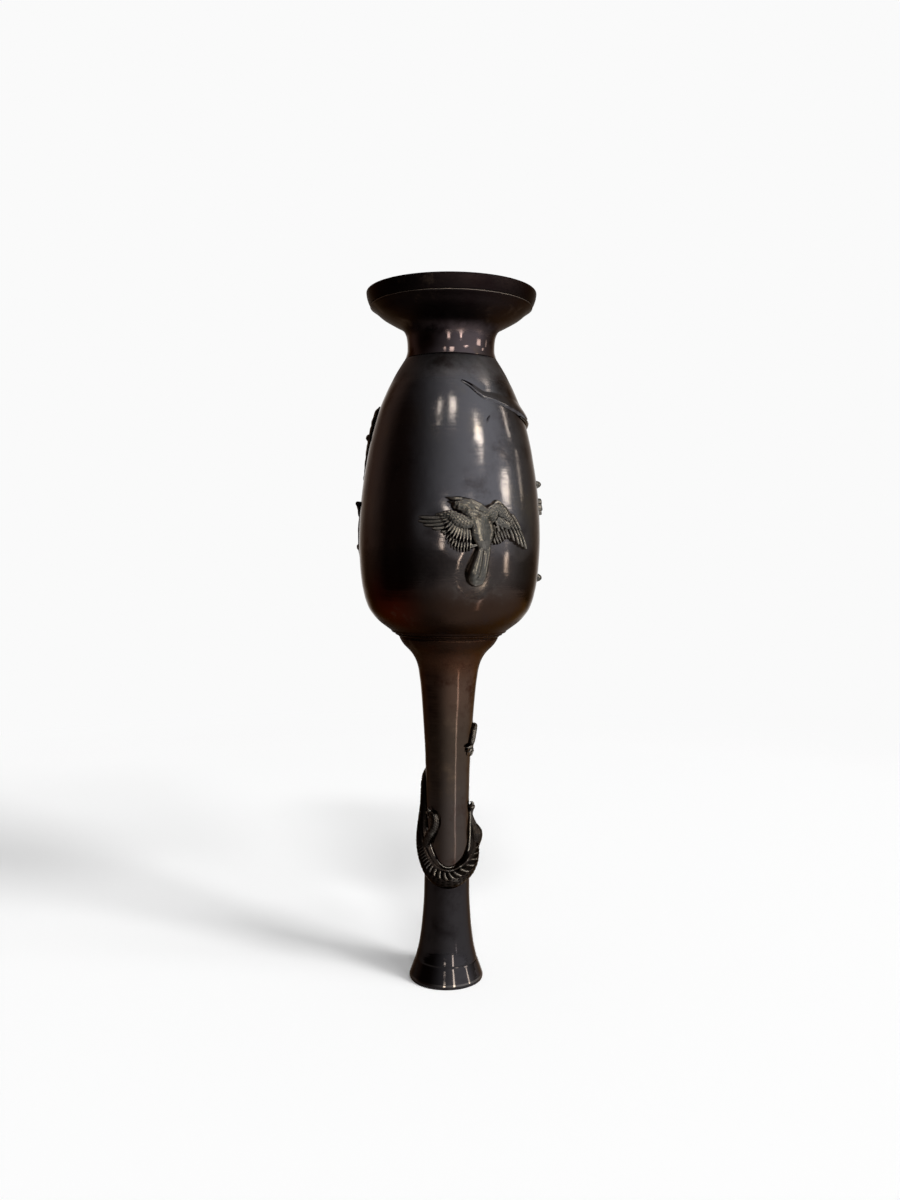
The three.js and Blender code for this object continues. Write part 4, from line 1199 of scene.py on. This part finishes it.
def dragon_skin(s, x, h):
    """Rim, leaning strands and scales over the dragon's back; x is -1 at its upper edge."""
    size = h / DRAGON_H
    width = DRAGON_W * size
    phase = s / (1.75 * np.clip(size, 0.45, 1)) + 1.1 * x
    crest = 1 - np.abs(np.cos(np.pi * phase)) ** 3
    strands = 0.6 * size * (crest - 0.6)
    scales = 0.34 * size * (tiles(s, (x + 1) * width * 1.35, 1.25, 1.5) - 0.5)
    rim = 0.4 * size * np.exp(-(((x + 0.93) / 0.06) ** 2))
    gutter = -0.35 * size * np.exp(-(((x + 0.79) / 0.08) ** 2))
    mane = np.clip((x + 0.74) / 0.1, 0, 1) * np.clip((-0.1 - x) / 0.12, 0, 1)
    return rim + gutter + mane * strands + (1 - mane) * scales * np.clip((x + 0.22) / 0.15, 0, 1)


dragon = Trail(STEM_SURFACE, spread(DRAGON_ROWS, (DRAGON_W, DRAGON_H), STEM_Z, STEM_H))
print(f"dragon: {dragon.length(np.linspace(0, 1, 200))[-1]:.0f} mm from tail to neck")

# %% [markdown]
# ### The coil and its edge
#
# A thin cord runs along the upper edge of the coil and up to the knee on the right. It is a round
# tube through points over the surface, and goes into the same mesh as the body. The tube serves the
# legs and the head too.


# %% A round tube
THINNEST = 0.03


def tube(rows, sides=18, step=0.25):
    """A round tube on the stem through (angle, height, lift of its middle, radius) rows."""
    rows = np.array(rows, float)
    path = STEM_SURFACE.points(*rows.T[:3])
    length = np.linalg.norm(np.diff(path, axis=0), axis=1).sum()
    t = np.linspace(0, 1, max(6, round(length / step)))
    spine, radii = flow(path, t), flow(rows[:, 3:], t)[:, 0]
    forward = np.gradient(spine, axis=0)
    forward /= np.linalg.norm(forward, axis=1, keepdims=True)
    out = spine * [1, 1, 0]
    out = out - np.sum(out * forward, 1, keepdims=True) * forward
    out /= np.linalg.norm(out, axis=1, keepdims=True)
    side = np.cross(forward, out)
    # A smaller ring past each end rounds it over.
    ends = [spine[0] - forward[0] * radii[0] * 0.6, spine[-1] + forward[-1] * radii[-1] * 0.6]
    spine = np.concatenate([[ends[0]], spine, [ends[1]]])
    radii = np.concatenate([[radii[0] * 0.5], radii, [radii[-1] * 0.5]])
    out, side = [np.concatenate([[v[0]], v, [v[-1]]]) for v in (out, side)]
    turn = 2 * np.pi * np.arange(sides)[None, :, None] / sides
    ring = out[:, None] * np.cos(turn) + side[:, None] * np.sin(turn)
    points = spine[:, None] + np.maximum(radii, THINNEST)[:, None, None] * ring
    return points.reshape(-1, 3), tube_faces(len(spine), sides)


print("tube: 18 sides, one ring every 0.25 mm, closed at both ends")

# %% The coil
EDGE_R = 0.42
EDGE = [
    (-60, 56.6), (-52, 53.6), (-39, 48.8), (-21.5, 45), (-2, 43.3), (28, 44.1), (58, 47), (72, 51),
    (80, 56), (84, 60), (87, 63.5),
]
edge = tube([(a, z, EDGE_R, EDGE_R) for a, z in EDGE], sides=12, step=0.2)
coil = rod(dragon, step=0.2, ring=72, texture=dragon_skin)
relief("dragon_coil", [coil, edge], ["dragon_body"])

# %% [markdown]
# ### Legs and claws
#
# Each leg is a string of round forms: haunch, knee, shin, pad and three hooked claws, with three
# flames of hair behind the knee. They are laid as overlapping tubes, fused by a voxel remesh and
# smoothed a little, which rounds the inner corners as wax does. Scales are pressed in afterwards,
# along each vertex's normal.


# %% Pressed scales
def press_scales(length, width, depth):
    """Gives a mesh scales in slanting rows that follow the stem's angle and height."""

    def press(mesh):
        points = per_vertex(mesh, "co")
        x, y, z = (points / MM).T
        around = np.arctan2(x, -y) * np.hypot(x, y)
        scales = tiles(z * 0.8 + around * 0.6, around * 0.8 - z * 0.6, length, width)
        points += per_vertex(mesh, "normal") * (depth * (scales - 0.5) * MM)[:, None]
        mesh.vertices.foreach_set("co", points.ravel())
        mesh.update()

    return press


print("press_scales: half of a scale's depth goes in, half stands out")

# %% Where the legs go
LEGS = {
    "dragon_hind_leg_left": (
        [(-56, 0.115, 1.4), (-50, 0.145, 1.6), (-38, 0.183, 1.65), (-28, 0.222, 1.55),
         (-30, 0.25, 1.4), (-40, 0.26, 1.15)],
        [(-50, 0.238), (-56, 0.262), (-51, 0.285)],
    ),
    "dragon_hind_leg_right": (
        [(99, 0.06, 1.2), (99, 0.1, 2.2), (98, 0.15, 2.9), (95, 0.195, 1.6), (91, 0.24, 0.8),
         (87, 0.277, 1.25)],
        [(79, 0.272), (82, 0.297), (95, 0.291)],
    ),
    "dragon_fore_leg_right": (
        [(122, 0.555, 1.5), (110, 0.6, 1.3), (97, 0.618, 1.1), (84, 0.6, 1), (75, 0.565, 0.95),
         (69, 0.545, 0.8)],
        [(47, 0.54), (52, 0.518), (62, 0.498)],
    ),
    "dragon_fore_leg_left": (
        [(-170, 0.44, 1.4), (-160, 0.495, 1.25), (-150, 0.523, 1.05), (-141, 0.52, 0.9),
         (-135, 0.495, 0.8)],
        [(-124, 0.5), (-124, 0.465), (-134, 0.452)],
    ),
}
print("legs:", ", ".join(name.removeprefix("dragon_") for name in LEGS))


# %% The legs
def leg(spine, toes):
    """Tubes for a leg through (angle, share, radius) rows, with claws at (angle, share) tips."""
    spine = [(a, STEM_Z + STEM_H * s, r) for a, s, r in spine]
    parts = [tube([(a, z, r * 0.75, r) for a, z, r in spine])]
    a0, z0, _ = spine[-1]
    for a, s in toes:
        z = STEM_Z + STEM_H * s
        knuckle, joint = [(a0 + (a - a0) * t, z0 + (z - z0) * t) for t in (0.45, 0.8)]
        knuckle = (*knuckle, 1.25, 0.62)
        parts.append(tube([(a0, z0, 0.6, 0.7), knuckle]))
        parts.append(tube([knuckle, (*joint, 1.2, 0.4), (a, z, 0.35, 0.12)]))
    a1, z1, _ = spine[len(spine) // 2]
    lean = 1 if a1 > 0 else -1
    for k in range(3):
        flame = [
            (a1 + lean * k * 2, z1 - 0.5 * k, 0.7, 0.5),
            (a1 + lean * (9 + 2 * k), z1 + 0.4 - 1.0 * k, 0.8, 0.38),
            (a1 + lean * (17 + 2 * k), z1 + 1.8 - 1.3 * k, 0.5, 0.1),
        ]
        parts.append(tube(flame))
    return parts


for name, (spine, toes) in LEGS.items():
    relief(
        f"{name}_scaly", leg(spine, toes), [name], fuse_mm=0.14, rounds=3,
        after=press_scales(0.9, 0.9, depth=0.14),
    )

# %% [markdown]
# ### Head
#
# It looks up the stem with open jaws. Skull, jaws, brow, horns, whiskers, beard and mane are tubes
# again, each with its own bend, fused in the same way.

# %% Skull, jaws and horns
NECK_Z = STEM_Z + STEM_H * 0.715


def at_neck(*rows):
    """A tube through rows of angle, height over the neck in mm, lift and radius."""
    return tube([(a, NECK_Z + z, lift, r) for a, z, lift, r in rows])


HEAD = {
    "skull": [
        (-208, -0.9, 1, 1.7), (-198, 1.2, 1.3, 1.9), (-188, 2.4, 1.5, 1.85), (-179, 3, 1.5, 1.5),
    ],
    "upper jaw": [
        (-184, 2.9, 1.6, 1.5), (-172, 4.1, 1.7, 1.15), (-162, 4.7, 1.6, 1.05),
        (-156, 4.9, 1.5, 0.85),
    ],
    "lower jaw": [
        (-188, 1.1, 1.2, 1.2), (-177, 1.4, 1.1, 0.95), (-166, 2.1, 1, 0.7), (-160, 2.6, 1.1, 0.45),
    ],
    "nose": [(-155, 5.2, 2.1, 0.42), (-157, 4.4, 2.3, 0.42)],
    "brow": [(-186, 3.6, 2.9, 0.5), (-178, 4.4, 3, 0.48), (-172, 4.7, 2.7, 0.3)],
    "cheek": [(-182, 2.6, 3, 0.42), (-175, 3.2, 2.9, 0.4), (-170, 3.6, 2.6, 0.25)],
    "eye": [(-178, 3.7, 2.9, 0.5), (-177.5, 3.75, 3, 0.48)],
    "upper horn": [
        (-188, 4.4, 1.6, 0.62), (-196, 6.4, 1.8, 0.5), (-206, 7.6, 1.6, 0.34),
        (-214, 7.9, 1.2, 0.12),
    ],
    "lower horn": [
        (-194, 3.6, 2.2, 0.55), (-204, 5, 2.4, 0.45), (-214, 5.6, 2, 0.3), (-222, 5.4, 1.5, 0.1),
    ],
    "ear": [(-194, 2, 2.4, 0.55), (-202, 2.6, 2.6, 0.45), (-208, 2, 2.2, 0.15)],
    "upper whisker": [
        (-159, 4.2, 1.9, 0.28), (-150, 4.4, 1.8, 0.24), (-143, 6, 1.2, 0.18), (-146, 8, 0.8, 0.08),
    ],
    "lower whisker": [
        (-161, 3.8, 1.9, 0.28), (-152, 2.8, 1.8, 0.24), (-144, 2.4, 1.1, 0.18),
        (-139, 0.8, 0.7, 0.08),
    ],
}
head = [at_neck(*rows) for rows in HEAD.values()]
print(f"head: {len(head)} tubes, {NECK_Z:.1f} mm above the ground")

# %% Beard, mane and teeth
BEARD = [(0, 0, 1, 0.5), (2, -1.6, 1.1, 0.36), (-2, -2.9, 0.9, 0.24), (-6, -3.6, 0.6, 0.08)]
MANE = [(0, 0, 1.4, 0.55), (-8, 1, 1.6, 0.42), (-17, 0.6, 1.2, 0.3), (-25, 1.4, 0.7, 0.08)]
TOOTH = [(0, 0, 1.6, 0.24), (-1, -0.7, 1.6, 0.06)]
for lock, count, (a, z), (da, dz) in (
    (BEARD, 5, (-172, 1.2), (-5, -0.25)),
    (MANE, 4, (-200, 2.6), (-4, -1.5)),
    (TOOTH, 4, (-163, 3.6), (-4, -0.32)),
):
    for k in range(count):
        head.append(at_neck(*[(a + k * da + p, z + k * dz + q, *more) for p, q, *more in lock]))
relief(
    "dragon_head_maned", head, ["dragon_head"], fuse_mm=0.12, after=press_scales(0.8, 0.8, 0.06)
)

# %% [markdown]
# ### Foot plate
#
# The plate that closes the foot is flat and unseen, so its CAD shape stays and only takes the
# foot's patina.

# %% Foot plate
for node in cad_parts.values():
    if not node.hide_render:
        node.data.materials.clear()
        node.data.materials.append(FOOT)
        print("kept from the CAD model:", node.name)

# %% [markdown]
# ## Floor and room
#
# The floor is white paper, lit near the vase so that it takes the shadow, and further out it is
# simply as white as the background. Polished metal shows the whole room, so the room matters more
# than any lamp: white backdrop behind, pale wall to the right, dark wall to the left. The room's
# light is worked out from a direction, once for the world and once for what the metal sees of the
# floor far away.


# %% Directions in the room
def towards(angle, rise):
    """The direction to a point in the room, its angle from the front to +X and its rise."""
    turn, up = math.radians(angle), math.radians(rise)
    return Vector((math.cos(up) * math.sin(turn), -math.cos(up) * math.cos(turn), math.sin(up)))


print("towards: 90 degrees from the front is", tuple(round(c, 2) for c in towards(90, 0)))


# %% The room's light by direction
BACKDROP_FROM = 0.66


def room_light(tree, place):
    """The room's colour in a direction, how pale it is there and how much of it is backdrop. The
    direction's X, to the right, and its Y, to the back, run from -1 to 1."""
    aim = add(tree, "ShaderNodeVectorMath", {0: place}, operation="NORMALIZE")["Vector"]
    aim = add(tree, "ShaderNodeSeparateXYZ", {0: aim})
    left = blend(tree, aim["Y"], -0.1, 0.6, linear("#33251f"), linear("#8c7264"))[1]
    right = blend(tree, aim["Y"], -0.4, 0.4, [1.22, 1.24, 1.28, 1], [0.42, 0.4, 0.37, 1])[1]
    pale, wall = blend(tree, aim["X"], -0.9, 0.8, left, right)
    return wall, pale, blend(tree, aim["Y"], BACKDROP_FROM, 1, left, right)[0]


def shows_white(tree, behind):
    """Glossy rays, and where the background shows: to the camera, through glass, and mirrored."""
    rays = add(tree, "ShaderNodeLightPath")
    glossy = rays["Is Glossy Ray"]
    seen = {0: rays["Is Camera Ray"], 1: rays["Is Transmission Ray"]}
    seen = add(tree, "ShaderNodeMath", seen, operation="MAXIMUM")[0]
    mirrored = add(tree, "ShaderNodeMath", {0: glossy, 1: behind}, operation="MULTIPLY")[0]
    return glossy, add(tree, "ShaderNodeMath", {0: seen, 1: mirrored}, operation="MAXIMUM")[0]


print(f"room_light: dark wall at X below 0, pale wall above 0, backdrop from Y {BACKDROP_FROM}")

# %% [markdown]
# ### Floor
#
# Diffuse white paper takes the shadows up to half a metre out, then it fades to the background's
# own white. The metal sees a painted reflection instead: the paper glows as a dimmer, warmer
# ground to the left and further out, and one glowing line runs out from the foot to the right
# and paints a thin highlight down the stem.

# %% Floor
FLOOR_HALF, FADE_FROM, FADE_TO = 3, 0.42, 0.6
ground = bpy.data.meshes.new("floor")
corners = [(x * FLOOR_HALF, y * FLOOR_HALF, 0) for x, y in ((-1, -1), (1, -1), (1, 1), (-1, 1))]
ground.from_pydata(corners, [], [(0, 1, 2, 3)])
floor = bpy.data.objects.new("floor", ground)
bpy.context.collection.objects.link(floor)
paper = bpy.data.materials.new("White paper sweep")
paper.use_nodes = True
tree = paper.node_tree
tree.nodes.clear()
spot = add(tree, "ShaderNodeTexCoord")["Object"]
aim = add(tree, "ShaderNodeVectorMath", {0: spot}, operation="NORMALIZE")["Vector"]
far = add(tree, "ShaderNodeVectorMath", {0: spot}, operation="LENGTH")["Value"]
wall, pale, behind = room_light(tree, spot)
glossy, white_share = shows_white(tree, behind)
fade = {"Value": far, "From Min": FADE_FROM, "From Max": FADE_TO}
fade = add(tree, "ShaderNodeMapRange", fade, interpolation_type="SMOOTHSTEP")["Result"]
white_share = add(tree, "ShaderNodeMath", {0: white_share, 1: fade}, operation="MULTIPLY")[0]
print(f"floor: {2 * FLOOR_HALF} m square, fades to the background from {FADE_FROM} to {FADE_TO} m")

# %% The glowing line on the floor, a painted reflection
LINE_ANGLE, LINE_SIDE = 41, 3.14  # degrees from the front, and to each side of that
LINE_MIDDLE, LINE_HALF = 0.26, 0.1  # metres out from the foot
LINE_EDGE = math.cos(math.radians(LINE_SIDE))
GROUND_STRENGTH, LINE_STRENGTH = 0.6, 7
# Only the metal sees this line: it glows up to LINE_STRENGTH though it is no lamp, a painted
# reflection that draws a thin highlight down the stem.
dark = add(tree, "ShaderNodeMath", {0: 1, 1: pale}, operation="SUBTRACT")[0]
line = {0: aim, 1: towards(LINE_ANGLE, 0)}
toward = add(tree, "ShaderNodeVectorMath", line, operation="DOT_PRODUCT")["Value"]
inside = add(tree, "ShaderNodeMath", {0: toward, 1: LINE_EDGE}, operation="GREATER_THAN")[0]
ring = {0: far, 1: LINE_MIDDLE, 2: LINE_HALF}
near = add(tree, "ShaderNodeMath", ring, operation="COMPARE")[0]
on_painted_line = add(tree, "ShaderNodeMath", {0: inside, 1: near}, operation="MULTIPLY")[0]
painted_line_glow = add(
    tree, "ShaderNodeMapRange",
    {"Value": toward, "From Min": LINE_EDGE, "To Min": GROUND_STRENGTH, "To Max": LINE_STRENGTH},
)["Result"]
painted_line_glow = add(tree, "ShaderNodeMath", {0: painted_line_glow, 1: near}, operation="MULTIPLY")[0]
painted_line_glow = add(tree, "ShaderNodeMath", {0: painted_line_glow, 1: GROUND_STRENGTH}, operation="MAXIMUM")[0]
painted_glow_share = add(tree, "ShaderNodeMath", {0: fade, 1: dark}, operation="MAXIMUM")[0]
painted_glow_share = add(tree, "ShaderNodeMath", {0: painted_glow_share, 1: on_painted_line}, operation="MAXIMUM")[0]
room_share = add(tree, "ShaderNodeMath", {0: painted_glow_share, 1: glossy}, operation="MULTIPLY")[0]
print(f"bright line: {LINE_ANGLE} degrees to the right, {LINE_MIDDLE - LINE_HALF:.2f} to "
      f"{LINE_MIDDLE + LINE_HALF:.2f} m out")

# %% Paper
BACKGROUND = linear("#fafafa")
WARM_TO, ROOM_FROM = 0.1, 0.5  # metres at which the metal sees warm paper, and the room's light
lit = add(tree, "ShaderNodeBsdfDiffuse", {"Color": linear("#fdfdfd")})[0]
ground_light = blend(tree, far, WARM_TO, ROOM_FROM, linear("#b0a49c"), wall)[1]
# A glow that only the metal sees: a painted reflection of a dimmer floor.
painted_ground_glow = add(tree, "ShaderNodeEmission", {"Color": ground_light, "Strength": painted_line_glow})[0]
glow = add(tree, "ShaderNodeEmission", {"Color": BACKGROUND, "Strength": 1})[0]
mixed = add(tree, "ShaderNodeMixShader", {0: room_share, 1: lit, 2: painted_ground_glow})[0]
mixed = add(tree, "ShaderNodeMixShader", {0: white_share, 1: mixed, 2: glow})[0]
add(tree, "ShaderNodeOutputMaterial", {"Surface": mixed})
ground.materials.append(paper)
print(f"paper: {len(tree.nodes)} nodes")

# %% [markdown]
# ### World
#
# The same room as a world. Camera and transmission rays see the white background, glossy rays see
# the room with that background behind, and all else gets a plain level, so that the floor and any
# dull surface are lit evenly.

# %% World
PLAIN_LEVEL = 0.16
scene = bpy.context.scene
world = bpy.data.worlds.new("room")
scene.world = world
world.use_nodes = True
tree = world.node_tree
tree.nodes.clear()
wall, pale, behind = room_light(tree, add(tree, "ShaderNodeTexCoord")["Generated"])
glossy, white_share = shows_white(tree, behind)
plain, room, white = [
    add(tree, "ShaderNodeBackground", {"Color": colour, "Strength": strength})[0]
    for colour, strength in ((linear("#ffffff"), PLAIN_LEVEL), (wall, 1), (BACKGROUND, 1))
]
mixed = add(tree, "ShaderNodeMixShader", {0: glossy, 1: plain, 2: room})[0]
mixed = add(tree, "ShaderNodeMixShader", {0: white_share, 1: mixed, 2: white})[0]
add(tree, "ShaderNodeOutputWorld", {"Surface": mixed})
print(f"world: plain level {PLAIN_LEVEL}, {len(tree.nodes)} nodes")

# %% [markdown]
# ## Lamps
#
# Small windows and ceiling lamps stand where the highlights on the neck and on the body both point
# to. Three soft strips give the floor its shadows and are kept out of the metal, which would show
# them as burnt patches. The windows light only the metal, so the floor stays at its plain level.

# %% A lamp that faces the vase
MIDDLE = Vector((0, 0, 0.18))  # the point that the lamps face, in metres


def lamp(name, middle, size, radiance, along=(0, 0, 1), colour="#ffffff"):
    """A flat lamp that faces the vase, its size in metres across and along."""
    light = bpy.data.lights.new(name, "AREA")
    light.shape = "RECTANGLE"
    light.size, light.size_y = size
    light.energy = radiance * math.pi * size[0] * size[1]
    light.color = linear(colour)[:3]
    made = bpy.data.objects.new(name, light)
    back = (Vector(middle) - MIDDLE).normalized()
    across = Vector(along).cross(back).normalized()
    made.matrix_world = Matrix((across, back.cross(across), back)).transposed().to_4x4()
    made.location = middle
    bpy.context.collection.objects.link(made)
    return made


print("lamp: turned to the point", tuple(round(c, 2) for c in MIDDLE))


# %% Soft lamps for the floor
STRIP_AWAY = 30


def shadow_lamp(name, start, end, degrees, share):
    """A strip between two directions, so many degrees wide, that gives a share of the floor's
    light but is kept out of the metal."""
    a, b = [MIDDLE + towards(*point) * STRIP_AWAY for point in (start, end)]
    wide = 2 * STRIP_AWAY * math.tan(math.radians(degrees / 2))
    middle, long = (a + b) / 2, (b - a).length
    facing = (middle - MIDDLE).normalized()
    view = wide * long * facing.z / (middle - MIDDLE).length_squared
    made = lamp(name, middle, (wide, long), share * math.pi / view, (b - a).normalized())
    made.visible_glossy = False
    print(f"{name}: {long:.2f} m long, gives {share:.0%} of the floor's light")


shadow_lamp("shadow ceiling strip", (-3, 49.5), (20, 44), 6, 0.26)
shadow_lamp("shadow right strip", (30, 35), (84, 13.6), 6, 0.33)
shadow_lamp("shadow key", (50, 27.5), (67, 31), 9, 0.3)


# %% Windows and ceiling lamps in the metal
WINDOW_LIGHT = "#fff1dc"


def window(name, angle, rise, wide, tall, radiance, lean=0, away=1.6):
    """A pane that only the metal shows: where it stands and its size, all in degrees."""
    facing = towards(angle, rise)
    across = Vector((0, 0, 1)).cross(facing).normalized()
    slant = math.radians(lean)
    up = facing.cross(across) * math.cos(slant) - across * math.sin(slant)
    size = [2 * away * math.tan(math.radians(degrees / 2)) for degrees in (wide, tall)]
    made = lamp(name, MIDDLE + facing * away, size, radiance, up, WINDOW_LIGHT)
    made.visible_diffuse = False


# Angle, rise, width, height and brightness, and where they matter the lean and the distance.
WINDOWS = [
    ("window right", 42.5, 29.5, 7, 10, 13, 45),
    ("window far right", 77, 13, 12, 8, 9),
    ("window behind right", 105, 13, 4, 8, 3),
    ("ceiling lamp front", 3, 44, 8, 12, 9),
    ("ceiling lamp left", -19, 42, 4, 10, 6),
    ("ceiling lamp right", 97, 28, 4, 9, 7),
    ("ceiling lamp far right", 88, 51, 7, 12, 5),
    ("low lamp front", -6, 5, 6, 9, 10),
    ("low lamp right", 25, -1, 5, 22, 14, 0, 0.7),
    ("low lamp far right", 75, -6, 4, 9, 12, 0, 0.7),
]
for row in WINDOWS:
    window(*row)
print("windows:", len(WINDOWS))

# %% [markdown]
# ## Camera
#
# Place and lens come from the vase's own outline in the photograph: about 37 cm away, at the height
# of the belly, tipped down 3 degrees and leaning half a degree.

# %% Camera
CAMERA_PLACE, CAMERA_DOWN, CAMERA_LEAN = (0.0002, -0.37344, 0.15997), 3.094, -0.45
camera = bpy.data.cameras.new("camera")
camera.lens = 30.75
camera.sensor_width = 36
camera.clip_start = 0.01
view = bpy.data.objects.new("camera", camera)
view.location = CAMERA_PLACE
view.rotation_euler = (math.radians(90 - CAMERA_DOWN), math.radians(CAMERA_LEAN), 0)
bpy.context.collection.objects.link(view)
scene.camera = view
scene.view_settings.view_transform = "Standard"
print(f"camera: lens {camera.lens} mm, {view.location.length * 100:.0f} cm from the foot")
